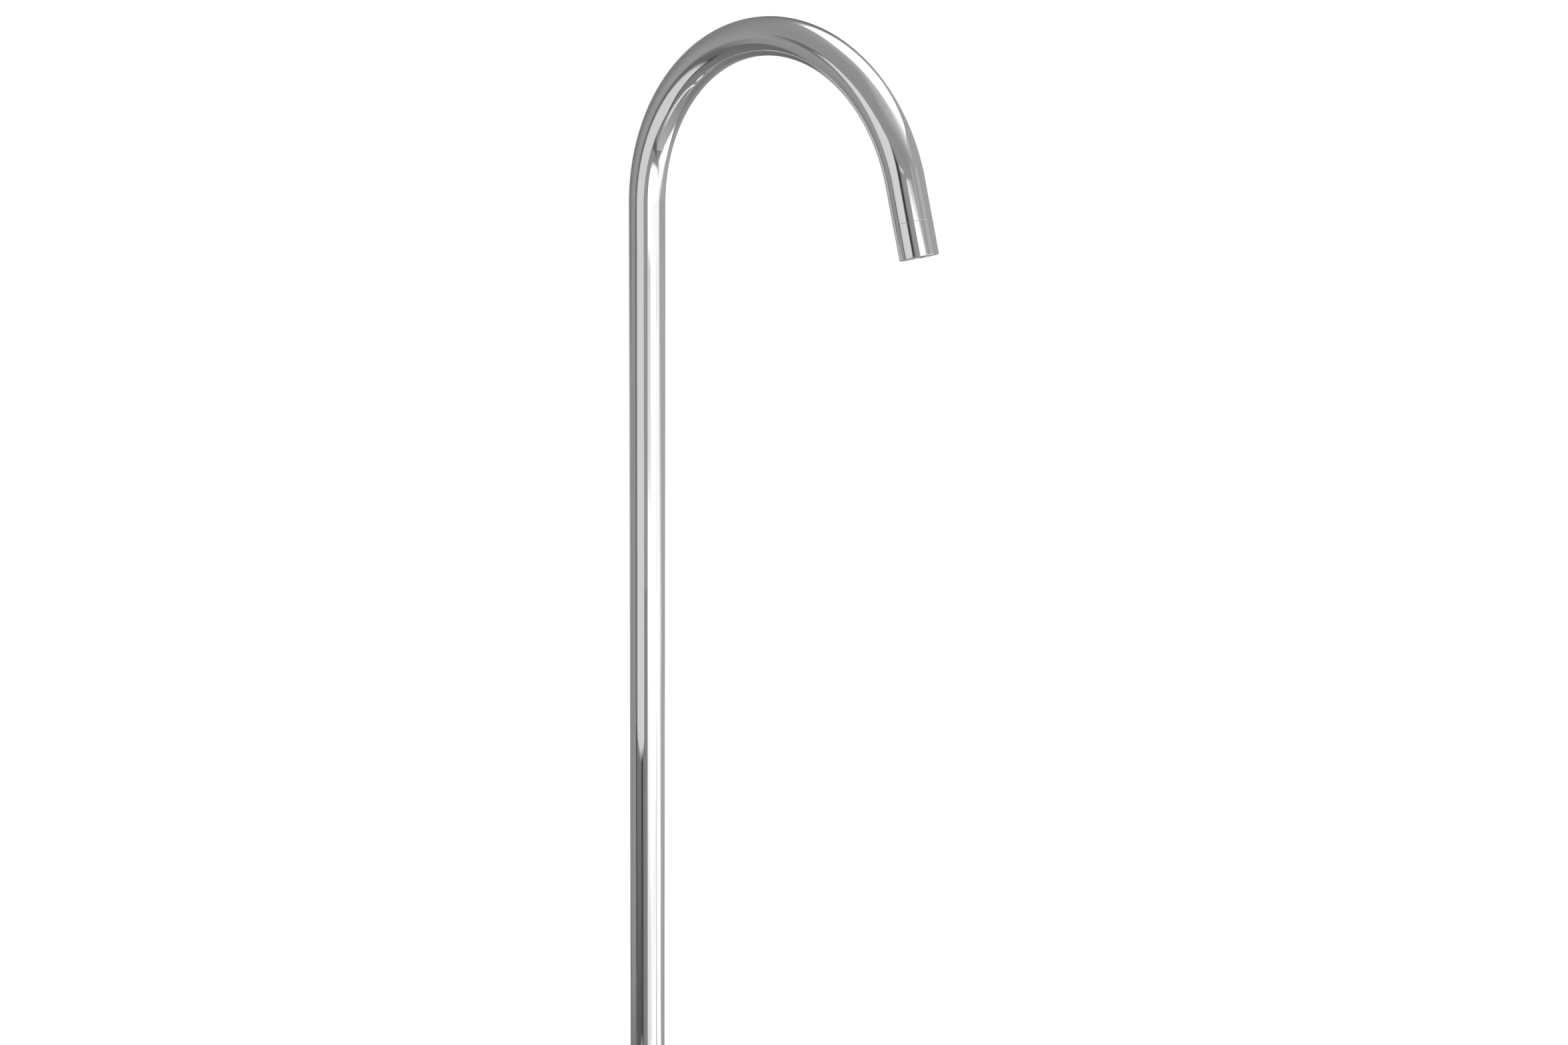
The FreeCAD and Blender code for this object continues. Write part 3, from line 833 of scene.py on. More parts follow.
def hexagon(across: float, top: float, depth: float) -> Workpiece:
    """A cutter for a hexagon socket.

    Args:
        across: Its width across the flats.
        top: The end that it is sunk into.
        depth: How deep it goes.

    Returns:
        The cutter, about Z.
    """
    radius = across / math.sqrt(3)
    piece = turned_solid("cutter", [(radius, top - depth), (radius, top + OVERCUT)], 6)
    piece.close()
    return piece


def out_of_back() -> Matrix:
    """The place of a piece made about Z that lies along the stop screw, out of the back."""
    return Matrix.Translation((0, 0, STOP_HEIGHT)) @ Matrix.Rotation(-math.pi / 2, 4, "Y")


def stop_hole(low: float, high: float) -> Workpiece:
    """A cutter for the stop screw's hole, between two distances from the riser's axis."""
    piece = drill(STOP_HOLE, low, high)
    piece.carry(out_of_back())
    return piece


def round_about(radius: float, count: int, start: float) -> list[Matrix]:
    """Places on a circle about Z.

    Args:
        radius: The circle's radius.
        count: How many places.
        start: The bearing of the first, in radians.

    Returns:
        The places, unturned.
    """
    turns = [start + math.tau * number / count for number in range(count)]
    return [Matrix.Translation((radius * math.cos(turn), radius * math.sin(turn), 0))
            for turn in turns]


def drilled(pattern: Workpiece, places: Iterable[Matrix]) -> list[Workpiece]:
    """Copies of a cutter at several places, which take the place of the pattern."""
    cutters = [pattern.copy("cutter", place) for place in places]
    bpy.data.objects.remove(pattern.object, do_unlink=True)
    return cutters


def hand_in(piece: Workpiece, finish: Finish, body: Body, node: str,
            place: Optional[Matrix] = None, flats: bool = True) -> None:
    """Closes a piece, dresses it, seats it on its body and lets it stand for its CAD node.

    Args:
        piece: The modelled piece.
        finish: Its material.
        body: The body it rides on.
        node: The CAD node that it replaces.
        place: Where it goes, or None where it was made in its place.
        flats: Whether it has flats that are kept flat.
    """
    piece.close()
    if place is not None:
        piece.carry(place)
    if flats:
        piece.polish()
    else:
        piece.smooth()
    finish.dress(piece.object)
    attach(piece.object, body.value)
    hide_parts(node)
    LOG.info("%s stands for %s: %d faces", piece.name, node, len(piece.object.data.polygons))


def dress_cad(node: str, finish: Finish) -> None:
    """Gives a CAD node that stays its finish."""
    finish.dress(bpy.data.objects[node])
    LOG.info("%s keeps its CAD mesh in %s", node, finish.name)


# Spout ------------------------------------------------------------------------------------------


@dataclass
class SpoutTube:
    """The drawn tube: riser, arch and tail in one piece."""

    radius: float = 12.5 * MM
    wall: float = 1.5 * MM
    arch_radius: float = 117.0 * MM
    sweep: float = math.radians(164.4)
    tail: float = 24.6 * MM
    seam_edge: float = 0.12 * MM
    stop_margin: float = 4.0 * MM
    riser_steps: int = 20
    arch_steps: int = 200
    foot: float = field(init=False)
    bend_start: float = field(init=False)

    def __post_init__(self) -> None:
        """Takes the heights from the CAD tube's box."""
        low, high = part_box("spout_tube")
        self.foot = low[2]
        self.bend_start = high[2] - self.arch_radius - self.radius

    @property
    def flow(self) -> Vector:
        """The direction of the tail."""
        return Vector((math.sin(self.sweep), 0, math.cos(self.sweep)))

    @property
    def tail_end(self) -> Vector:
        """The middle of the tube's end."""
        out = self.arch_radius - self.arch_radius * math.cos(self.sweep)
        up = self.bend_start + self.arch_radius * math.sin(self.sweep)
        return Vector((out, 0, up)) + self.flow * self.tail

    def on_nose(self) -> Matrix:
        """The place of a piece made about Z with the tube's end at zero."""
        return Matrix.Translation(self.tail_end) @ Matrix.Rotation(self.sweep, 4, "Y")

    def riser_heights(self) -> list[float]:
        """The heights of the rings up the riser, close together about the stop hole."""
        below, above = STOP_HEIGHT - self.stop_margin, STOP_HEIGHT + self.stop_margin
        step = (self.bend_start - above) / self.riser_steps
        return [below, *(above + step * number for number in range(self.riser_steps + 1))]

    def build(self) -> None:
        """Draws a ring up the riser, spins it round the arch and draws it down the tail."""
        piece = Workpiece("bent_tube", self.radius, self.foot, RING_SIDES)
        height = self.foot
        for upper in self.riser_heights():
            piece.draw_on(Vector((0, 0, upper - height)))
            height = upper
        centre = (self.arch_radius, 0, self.bend_start)
        bpy.ops.mesh.spin(steps=self.arch_steps, angle=self.sweep, center=centre, axis=(0, -1, 0))
        piece.draw_on(self.flow * (self.tail - self.seam_edge))
        piece.draw_on(self.flow * self.seam_edge)
        share = (self.radius - self.seam_edge) / self.radius
        bpy.ops.transform.resize(value=(share, share, share), center_override=tuple(self.tail_end))
        piece.close()
        piece.modify("SOLIDIFY", thickness=self.wall, offset=-1.0)
        piece.cut([stop_hole(self.radius - 2 * self.wall, self.radius)])
        hand_in(piece, CHROME, Body.SPOUT, "spout_tube", flats=False)


@dataclass
class Nose:
    """The ring at the spout's end and the flow straightener that it holds.

    Lengths run along the flow from the tube's end.
    """

    place: Matrix
    tube_radius: float = 12.5 * MM
    seam_gap: float = 0.04 * MM
    seam_edge: float = 0.14 * MM
    ring_end: float = 22.15 * MM
    ring_lip: float = 1.0 * MM
    ring_lip_bore: float = 9.3 * MM
    ring_cavity: float = 10.4 * MM
    ring_thread: float = 10.6 * MM
    ring_thread_start: float = 1.5 * MM
    ring_thread_end: float = 9.0 * MM
    ring_edge: float = 0.5 * MM
    lip_edge: float = 0.25 * MM
    pitch: float = 1.0 * MM
    ridge: float = 0.45 * MM
    adapter_bore: float = 8.5 * MM
    adapter_plug: float = 14.0 * MM
    adapter_radius: float = 10.95 * MM
    adapter_thread: float = 10.55 * MM
    adapter_run_out: float = 0.4 * MM
    adapter_end: float = 8.0 * MM
    adapter_edge: float = 0.3 * MM
    plug_edge: float = 0.4 * MM
    groove_radius: float = 9.45 * MM
    groove_low: float = 0.95 * MM
    groove_high: float = 2.55 * MM
    seal_centre: float = 10.025 * MM
    seal_section: float = 1.05 * MM
    seal_place: float = 1.75 * MM
    washer_radius: float = 10.25 * MM
    washer_end: float = 9.5 * MM
    washer_edge: float = 0.2 * MM
    housing_bore: float = 9.4 * MM
    housing_nozzle: float = 9.15 * MM
    housing_end: float = 21.85 * MM
    housing_edge: float = 0.3 * MM
    nozzle_edge: float = 0.15 * MM
    ledge: float = 19.95 * MM
    ledge_bore: float = 8.5 * MM
    ledge_edge: float = 0.25 * MM

    @property
    def lip(self) -> float:
        """Where the ring's inner lip begins."""
        return self.ring_end - self.ring_lip

    def brass(self) -> Finish:
        """Brass whose rings run about the nose's own axis."""
        tilt = self.place.to_euler().y
        return replace(BRASS, name="nose_brass", centre=tuple(self.place.translation), tilt=tilt)

    def build(self) -> None:
        """Makes every piece of the nose."""
        self.build_ring()
        self.build_adapter()
        self.build_seals()
        self.build_housing()
        dress_cad("filter_screen", BRIGHT_STEEL)
        dress_cad("straightener_grid", GREY_ACETAL)

    def build_ring(self) -> None:
        """The chromed ring, with its thread and the lip that holds the straightener."""
        root = self.ring_thread + self.ridge
        ridges = thread(self.ring_thread, root, self.ring_thread_start, self.ring_thread_end,
                        self.pitch)
        piece = lathe("nose_ring", [
            (self.ring_thread, self.seam_gap),
            (self.tube_radius, self.seam_gap),
            (self.tube_radius, self.ring_end),
            (self.ring_lip_bore, self.ring_end),
            (self.ring_lip_bore, self.lip),
            (self.ring_cavity, self.lip),
            (self.ring_cavity, self.ring_thread_end),
            (self.ring_thread, self.ring_thread_end),
            *reversed(ridges),
        ])
        piece.soften_each(
            (self.tube_radius, self.seam_gap, self.seam_edge, 3),
            (self.tube_radius, self.ring_end, self.ring_edge, 4),
            (self.ring_lip_bore, self.ring_end, self.lip_edge, 2),
        )
        hand_in(piece, CHROME, Body.SPOUT, "outlet_nose", self.place)

    def build_adapter(self) -> None:
        """The threaded bush brazed into the tube's end."""
        ridges = thread(self.adapter_thread, self.adapter_thread - self.ridge, self.groove_high,
                        self.adapter_end - self.adapter_run_out, self.pitch)
        piece = lathe("threaded_bush", [
            (self.adapter_bore, -self.adapter_plug),
            (self.adapter_radius, -self.adapter_plug),
            (self.adapter_radius, 0.0),
            (self.adapter_thread, 0.0),
            (self.adapter_thread, self.groove_low),
            (self.groove_radius, self.groove_low),
            (self.groove_radius, self.groove_high),
            (self.adapter_thread, self.groove_high),
            *ridges,
            (self.adapter_thread, self.adapter_end),
            (self.adapter_bore, self.adapter_end),
        ])
        piece.soften_each(
            (self.adapter_bore, self.adapter_end, self.adapter_edge, 2),
            (self.adapter_radius, -self.adapter_plug, self.plug_edge, 2),
        )
        hand_in(piece, self.brass(), Body.SPOUT, "nose_adapter", self.place)

    def build_seals(self) -> None:
        """The O-ring under the nose ring and the washer above the straightener."""
        seal = o_ring("nose_seal", self.seal_centre, self.seal_section, self.seal_place)
        hand_in(seal, BLACK_RUBBER, Body.SPOUT, "nose_o_ring", self.place,
                flats=False)
        washer = plain_ring("rubber_washer", self.adapter_bore, self.washer_radius,
                            self.adapter_end, self.washer_end, self.washer_edge)
        hand_in(washer, BLACK_RUBBER, Body.SPOUT, "straightener_washer", self.place)

    def build_housing(self) -> None:
        """The plastic cup that holds the grid on its ledge."""
        piece = lathe("straightener_cup", [
            (self.housing_bore, self.washer_end),
            (self.washer_radius, self.washer_end),
            (self.washer_radius, self.lip),
            (self.housing_nozzle, self.lip),
            (self.housing_nozzle, self.housing_end),
            (self.ledge_bore, self.housing_end),
            (self.ledge_bore, self.ledge),
            (self.housing_bore, self.ledge),
        ])
        piece.soften_each(
            (self.housing_nozzle, self.housing_end, self.nozzle_edge, 2),
            (self.ledge_bore, self.housing_end, self.ledge_edge, 3),
            (self.washer_radius, self.washer_end, self.housing_edge, 2),
        )
        hand_in(piece, GREY_ACETAL, Body.SPOUT, "straightener_housing", self.place)


@dataclass
class Swivel:
    """What the riser turns on: the bush in its foot, the stop screw, and the post's rings."""

    socket_bore: float = 9.25 * MM
    socket_radius: float = 10.95 * MM
    socket_low: float = 17.5 * MM
    socket_high: float = 87.0 * MM
    socket_edge: float = 0.3 * MM
    point_radius: float = 1.5 * MM
    point_chamfer: float = 0.3 * MM
    point_start: float = 7.95 * MM
    screw_radius: float = 2.5 * MM
    screw_start: float = 9.3 * MM
    screw_end: float = 12.2 * MM
    screw_run_out: float = 0.3 * MM
    screw_pitch: float = 0.8 * MM
    screw_ridge: float = 0.25 * MM
    screw_socket: float = 2.5 * MM
    screw_socket_depth: float = 1.6 * MM
    ring_inner: float = 7.65 * MM
    bearing_radius: float = 9.2 * MM
    bearing_height: float = 8.0 * MM
    bearing_edge: float = 0.2 * MM
    bearing_slit: float = 1.5 * MM
    slit_stretch: float = 4.0
    bearings: tuple[tuple[str, str, float], ...] = (
        ("lower_bush", "lower_bearing", 20.0 * MM),
        ("upper_bush", "upper_bearing", 54.0 * MM),
    )
    seal_section: float = 1.55 * MM
    seals: tuple[tuple[str, str, float], ...] = (
        ("lower_seal", "lower_o_ring", 69.0 * MM),
        ("upper_seal", "upper_o_ring", 76.0 * MM),
    )
    washer_inner: float = 9.3 * MM
    washer_radius: float = 12.2 * MM
    washer_low: float = 16.0 * MM
    washer_high: float = 17.4 * MM
    washer_edge: float = 0.2 * MM

    def build(self) -> None:
        """Makes every piece of the swivel."""
        self.build_socket()
        self.build_stop_screw()
        for bearing in self.bearings:
            self.build_bearing(*bearing)
        for seal in self.seals:
            self.build_seal(*seal)
        washer = plain_ring("riser_washer", self.washer_inner, self.washer_radius, self.washer_low,
                            self.washer_high, self.washer_edge)
        hand_in(washer, WHITE_ACETAL, Body.BASE, "thrust_washer")

    def build_socket(self) -> None:
        """The brass bush brazed into the riser's foot, tapped for the stop screw."""
        piece = plain_ring("riser_bush", self.socket_bore, self.socket_radius, self.socket_low,
                           self.socket_high, self.socket_edge)
        piece.close()
        piece.cut([stop_hole(self.socket_bore - 2 * OVERCUT, self.socket_radius)])
        hand_in(piece, BRASS, Body.SPOUT, "riser_socket")

    def build_stop_screw(self) -> None:
        """The grub screw whose point runs in the post's slot."""
        root = self.screw_radius - self.screw_ridge
        ridges = thread(self.screw_radius, root, self.screw_start,
                        self.screw_end - self.screw_run_out, self.screw_pitch)
        piece = turned_solid("grub_screw", [
            (self.point_radius - self.point_chamfer, self.point_start),
            (self.point_radius, self.point_start + self.point_chamfer),
            (self.point_radius, self.screw_start),
            (root, self.screw_start),
            *ridges,
            (root, self.screw_end),
        ])
        piece.close()
        piece.cut([hexagon(self.screw_socket, self.screw_end, self.screw_socket_depth)])
        hand_in(piece, BRIGHT_STEEL, Body.SPOUT, "stop_screw", out_of_back(),
                flats=False)

    def build_bearing(self, name: str, node: str, low: float) -> None:
        """A split plastic ring in one of the post's wide grooves.

        Args:
            name: The piece's name.
            node: The CAD node that it stands for.
            low: Its lower face.
        """
        high = low + self.bearing_height
        piece = plain_ring(name, self.ring_inner, self.bearing_radius, low, high, self.bearing_edge)
        piece.close()
        corner = self.bearing_slit / math.sqrt(2)
        slit = turned_solid("cutter", [(corner, low - OVERCUT), (corner, high + OVERCUT)], 4)
        slit.close()
        slit.carry(Matrix.Rotation(math.pi / 4, 4, "Z"))
        slit.carry(Matrix.Diagonal((self.slit_stretch, 1.0, 1.0, 1.0)))
        slit.carry(Matrix.Translation(((self.ring_inner + self.bearing_radius) / 2, 0, 0)))
        piece.cut([slit])
        hand_in(piece, WHITE_ACETAL, Body.BASE, node)

    def build_seal(self, name: str, node: str, height: float) -> None:
        """An O-ring in one of the post's narrow grooves.

        Args:
            name: The piece's name.
            node: The CAD node that it stands for.
            height: The height of its middle.
        """
        piece = o_ring(name, self.ring_inner + self.seal_section / 2, self.seal_section, height)
        hand_in(piece, BLACK_RUBBER, Body.BASE, node, flats=False)


# Floor ------------------------------------------------------------------------------------------


@dataclass
class Foot:
    """What is screwed to the floor: gasket, plate, inlet spigot and its three screws."""

    gasket_inner: float = 15.3 * MM
    gasket_radius: float = 54.0 * MM
    gasket_top: float = 2.0 * MM
    gasket_hole: float = 3.25 * MM
    gasket_edge: float = 0.3 * MM
    plate_inner: float = 15.05 * MM
    plate_radius: float = 55.0 * MM
    plate_top: float = 10.0 * MM
    recess_radius: float = 28.05 * MM
    recess_floor: float = 6.0 * MM
    plate_edge: float = 0.8 * MM
    plate_small_edge: float = 0.3 * MM
    floor_circle: float = 41.0 * MM
    floor_screws: int = 4
    floor_turn: float = math.pi / 4
    floor_hole: float = 3.25 * MM
    floor_sink: float = 6.3 * MM
    tapped_hole: float = 2.55 * MM
    screw_circle: float = 21.5 * MM
    screws: int = 3
    screw_turn: float = math.pi
    waterway: float = 5.5 * MM
    inlet_thread: float = 9.3 * MM
    inlet_low: float = 0.5 * MM
    inlet_high: float = 12.5 * MM
    inlet_pitch: float = 1.4 * MM
    inlet_ridge: float = 0.8 * MM
    inlet_run_out: float = 0.8 * MM
    boss_radius: float = 15.0 * MM
    flange_radius: float = 28.0 * MM
    flange_top: float = 12.0 * MM
    flange_edge: float = 0.5 * MM
    shoulder_radius: float = 12.5 * MM
    shoulder_top: float = 16.0 * MM
    shoulder_edge: float = 0.4 * MM
    post_radius: float = 9.0 * MM
    post_top: float = 84.0 * MM
    post_chamfer: float = 1.2 * MM
    post_bore_edge: float = 0.4 * MM
    groove_radius: float = 7.6 * MM
    grooves: tuple[tuple[float, float], ...] = (
        (19.95 * MM, 28.05 * MM),
        (53.95 * MM, 62.05 * MM),
        (67.75 * MM, 70.25 * MM),
        (74.75 * MM, 77.25 * MM),
    )
    slot_low: float = 38.2 * MM
    slot_high: float = 41.8 * MM
    slot_reach: float = math.radians(102.37)
    slot_skin: float = 0.98
    flange_hole: float = 2.6 * MM
    flange_sink: float = 5.3 * MM
    screw_radius: float = 2.5 * MM
    screw_low: float = 2.3 * MM
    screw_run_in: float = 0.2 * MM
    screw_run_out: float = 0.6 * MM
    screw_pitch: float = 0.8 * MM
    screw_ridge: float = 0.3 * MM
    screw_neck: float = 9.3 * MM
    screw_head: float = 4.8 * MM
    screw_head_low: float = 11.6 * MM
    screw_top: float = 12.0 * MM
    screw_edge: float = 0.15 * MM
    screw_socket: float = 3.0 * MM
    screw_socket_depth: float = 1.8 * MM

    def build(self) -> None:
        """Makes every piece of the foot."""
        self.build_gasket()
        self.build_plate()
        self.build_spigot()
        self.build_screws()

    def at_floor_screws(self) -> list[Matrix]:
        """The places of the floor screws' holes."""
        return round_about(self.floor_circle, self.floor_screws, self.floor_turn)

    def at_screws(self) -> list[Matrix]:
        """The places of the screws that hold the flange to the plate."""
        return round_about(self.screw_circle, self.screws, self.screw_turn)

    def build_gasket(self) -> None:
        """The rubber sheet between plate and floor."""
        piece = plain_ring("rubber_gasket", self.gasket_inner, self.gasket_radius, 0.0,
                           self.gasket_top, self.gasket_edge, WIDE_SIDES)
        piece.close()
        pattern = drill(self.gasket_hole, -OVERCUT, self.gasket_top)
        piece.cut(drilled(pattern, self.at_floor_screws()))
        hand_in(piece, BLACK_RUBBER, Body.BASE, "floor_gasket")

    def build_plate(self) -> None:
        """The steel plate, with its recess, its countersunk holes and its tapped holes."""
        piece = lathe("floor_plate", [
            (self.plate_inner, self.gasket_top),
            (self.plate_radius, self.gasket_top),
            (self.plate_radius, self.plate_top),
            (self.recess_radius, self.plate_top),
            (self.recess_radius, self.recess_floor),
            (self.plate_inner, self.recess_floor),
        ], WIDE_SIDES)
        piece.soften_each(
            (self.plate_radius, self.plate_top, self.plate_edge, 3),
            (self.plate_radius, self.gasket_top, self.plate_small_edge, 2),
            (self.recess_radius, self.plate_top, self.plate_small_edge, 2),
        )
        piece.close()
        under = self.gasket_top - OVERCUT
        holes = drill(self.floor_hole, under, self.plate_top, self.floor_sink)
        piece.cut(drilled(holes, self.at_floor_screws()))
        taps = drill(self.tapped_hole, under, self.recess_floor)
        piece.cut(drilled(taps, self.at_screws()))
        hand_in(piece, STEEL, Body.BASE, "base_plate")

    def spigot_outline(self) -> list[tuple[float, float]]:
        """The spigot's section, from the waterway down round the thread and up the post."""
        corners = [(self.waterway, self.inlet_high), (self.inlet_thread, self.inlet_high)]
        ridges = thread(self.inlet_thread, self.inlet_thread + self.inlet_ridge, self.inlet_low,
                        self.inlet_high - self.inlet_run_out, self.inlet_pitch)
        corners += reversed(ridges)
        corners += [
            (self.inlet_thread, self.inlet_low),
            (self.boss_radius, self.inlet_low),
            (self.boss_radius, self.recess_floor),
            (self.flange_radius, self.recess_floor),
            (self.flange_radius, self.flange_top),
            (self.shoulder_radius, self.flange_top),
            (self.shoulder_radius, self.shoulder_top),
            (self.post_radius, self.shoulder_top),
        ]
        edges = sorted([*self.grooves, (self.slot_low, self.slot_high)])
        for low, high in edges:
            inner = self.groove_radius if (low, high) in self.grooves else self.post_radius
            corners += [(self.post_radius, low), (inner, low)]
            corners += [(inner, high), (self.post_radius, high)]
        corners += [(self.post_radius, self.post_top), (self.waterway, self.post_top)]
        following = [*corners[1:], corners[0]]
        return [corner for corner, after in zip(corners, following) if corner != after]

    def build_spigot(self) -> None:
        """The brass inlet with its flange, shoulder and grooved post."""
        piece = lathe("brass_spigot", self.spigot_outline())
        piece.soften_each(
            (self.post_radius, self.post_top, self.post_chamfer, 1),
            (self.waterway, self.post_top, self.post_bore_edge, 2),
            (self.flange_radius, self.flange_top, self.flange_edge, 3),
            (self.shoulder_radius, self.shoulder_top, self.shoulder_edge, 3),
        )

        def in_slot(middle: Vector) -> bool:
            """Whether a face of the post's skin is within the slot's reach of the back."""
            skin = math.hypot(middle.x, middle.y) > self.slot_skin * self.post_radius
            return skin and abs(math.atan2(middle.y, -middle.x)) < self.slot_reach

        piece.sink(self.slot_low, self.slot_high, in_slot, self.groove_radius / self.post_radius)
        piece.close()
        holes = drill(self.flange_hole, self.recess_floor - OVERCUT, self.flange_top,
                      self.flange_sink)
        piece.cut(drilled(holes, self.at_screws()))
        hand_in(piece, BRASS, Body.BASE, "inlet_spigot")

    def build_screws(self) -> None:
        """One flat head screw, copied to the flange's three holes."""
        root = self.screw_radius - self.screw_ridge
        ridges = thread(self.screw_radius, root, self.screw_low + self.screw_run_in,
                        self.screw_neck - self.screw_run_out, self.screw_pitch)
        pattern = turned_solid("flat_head_screw", [
            (root, self.screw_low),
            *ridges,
            (self.screw_radius, self.screw_neck),
            (self.screw_head, self.screw_head_low),
            (self.screw_head, self.screw_top),
        ])
        pattern.soften_each((self.screw_head, self.screw_top, self.screw_edge, 2))
        pattern.close()
        pattern.cut([hexagon(self.screw_socket, self.screw_top, self.screw_socket_depth)])
        for number, place in enumerate(self.at_screws(), 1):
            screw = pattern.copy(f"flat_head_screw_{number}", place)
            hand_in(screw, BRIGHT_STEEL, Body.BASE, "spigot_screws")
        bpy.data.objects.remove(pattern.object, do_unlink=True)


@dataclass
class Cover:
    """The round cover that slides up the riser, and the ring that holds it there."""

    wall: float = 2.0 * MM
    height: float = 16.0 * MM
    bore: float = 12.8 * MM
    collar_radius: float = 18.0 * MM
    edge: float = 2.5 * MM
    cove: float = 2.0 * MM
    collar_edge: float = 0.8 * MM
    bore_edge: float = 0.2 * MM
    rim_edge: float = 0.3 * MM
    groove_radius: float = 15.0 * MM
    groove_low: float = 18.1 * MM
    groove_high: float = 21.1 * MM
    ring_centre: float = 13.75 * MM
    ring_section: float = 2.4 * MM
    ring_height: float = 19.6 * MM

    def build(self) -> None:
        """Makes the shell with its collar, and the ring in the collar's groove."""
        low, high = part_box("cover_flange")
        radius = high[0]
        top = high[2]
        ceiling = self.height - self.wall
        piece = lathe("floor_cover", [
            (radius, low[2]),
            (radius, self.height),
            (self.collar_radius, self.height),
            (self.collar_radius, top),
            (self.bore, top),
            (self.bore, self.groove_high),
            (self.groove_radius, self.groove_high),
            (self.groove_radius, self.groove_low),
            (self.bore, self.groove_low),
            (self.bore, ceiling),
            (radius - self.wall, ceiling),
            (radius - self.wall, low[2]),
        ], COVER_SIDES)
        piece.soften_each(
            (radius, self.height, self.edge, 10),
            (self.collar_radius, self.height, self.cove, 8),
            (self.collar_radius, top, self.collar_edge, 5),
            (self.bore, top, self.bore_edge, 2),
            (radius, low[2], self.rim_edge, 2),
        )
        hand_in(piece, CHROME, Body.COVER, "cover_flange")
        grip = o_ring("cover_grip_ring", self.ring_centre, self.ring_section, self.ring_height)
        hand_in(grip, BLACK_RUBBER, Body.COVER, "cover_o_ring", flats=False)


# Camera and studio ------------------------------------------------------------------------------


@dataclass
class PhotoCamera:
    """The camera that a fit to the tube's outline gives, in the photograph's own pixels."""

    picture: tuple[int, int] = (2352, 1568)
    focal_pixels: float = 3752.9
    place: tuple[float, float] = (1.2314, -1.1950)
    above_bend: float = 0.1875
    turn: float = math.radians(42.6424)
    tilt: float = math.radians(13.4752)
    roll: float = math.radians(0.7082)
    sensor: float = 36.0
    far_clip: float = 500.0

    def build(self, bend_start: float) -> None:
        """Sets the scene's camera.

        Args:
            bend_start: The height at which the riser begins to bend.
        """
        data = bpy.data.cameras.new("photo_camera")
        data.sensor_width = self.sensor
        data.lens = self.sensor * self.focal_pixels / self.picture[0]
        data.clip_end = self.far_clip
        camera = bpy.data.objects.new("photo_camera", data)
        bpy.context.collection.objects.link(camera)
        place = Matrix.Translation((*self.place, bend_start + self.above_bend))
        turned = Matrix.Rotation(self.turn, 4, "Z")
        tilted = Matrix.Rotation(math.pi / 2 - self.tilt, 4, "X")
        camera.matrix_world = place @ turned @ tilted @ Matrix.Rotation(self.roll, 4, "Z")
        bpy.context.scene.camera = camera


class Stand(Enum):
    """How a card's corners are given.

    A bearing is in degrees, 0 towards the camera and 90 to the camera's right.
    """

    FAR = "bearing and elevation, seen from the spout"
    NEAR = "bearing and height, round the riser"


@dataclass(frozen=True)
class Card:
    """A flat or a softbox that only reflections see.

    Its corners run bottom left, bottom right, top right, top left.  Its tones, at the bottom and
    the top, are what chrome shows of it, from 0 to 255 and over for a light.  Its soft edges are
    shares of its width or height, at the left, right, bottom and top.
    """

    name: str
    stand: Stand
    distance: float
    tones: tuple[float, float]
    soft: tuple[float, float, float, float]
    corners: tuple[tuple[float, float], ...]
    tint: Colour = PURE_WHITE


def towards(bearing: float, rise: float) -> Vector:
    """A direction at a bearing and an elevation, both in radians."""
    level = math.cos(rise)
    return Vector((math.sin(bearing) * level, -math.cos(bearing) * level, math.sin(rise)))


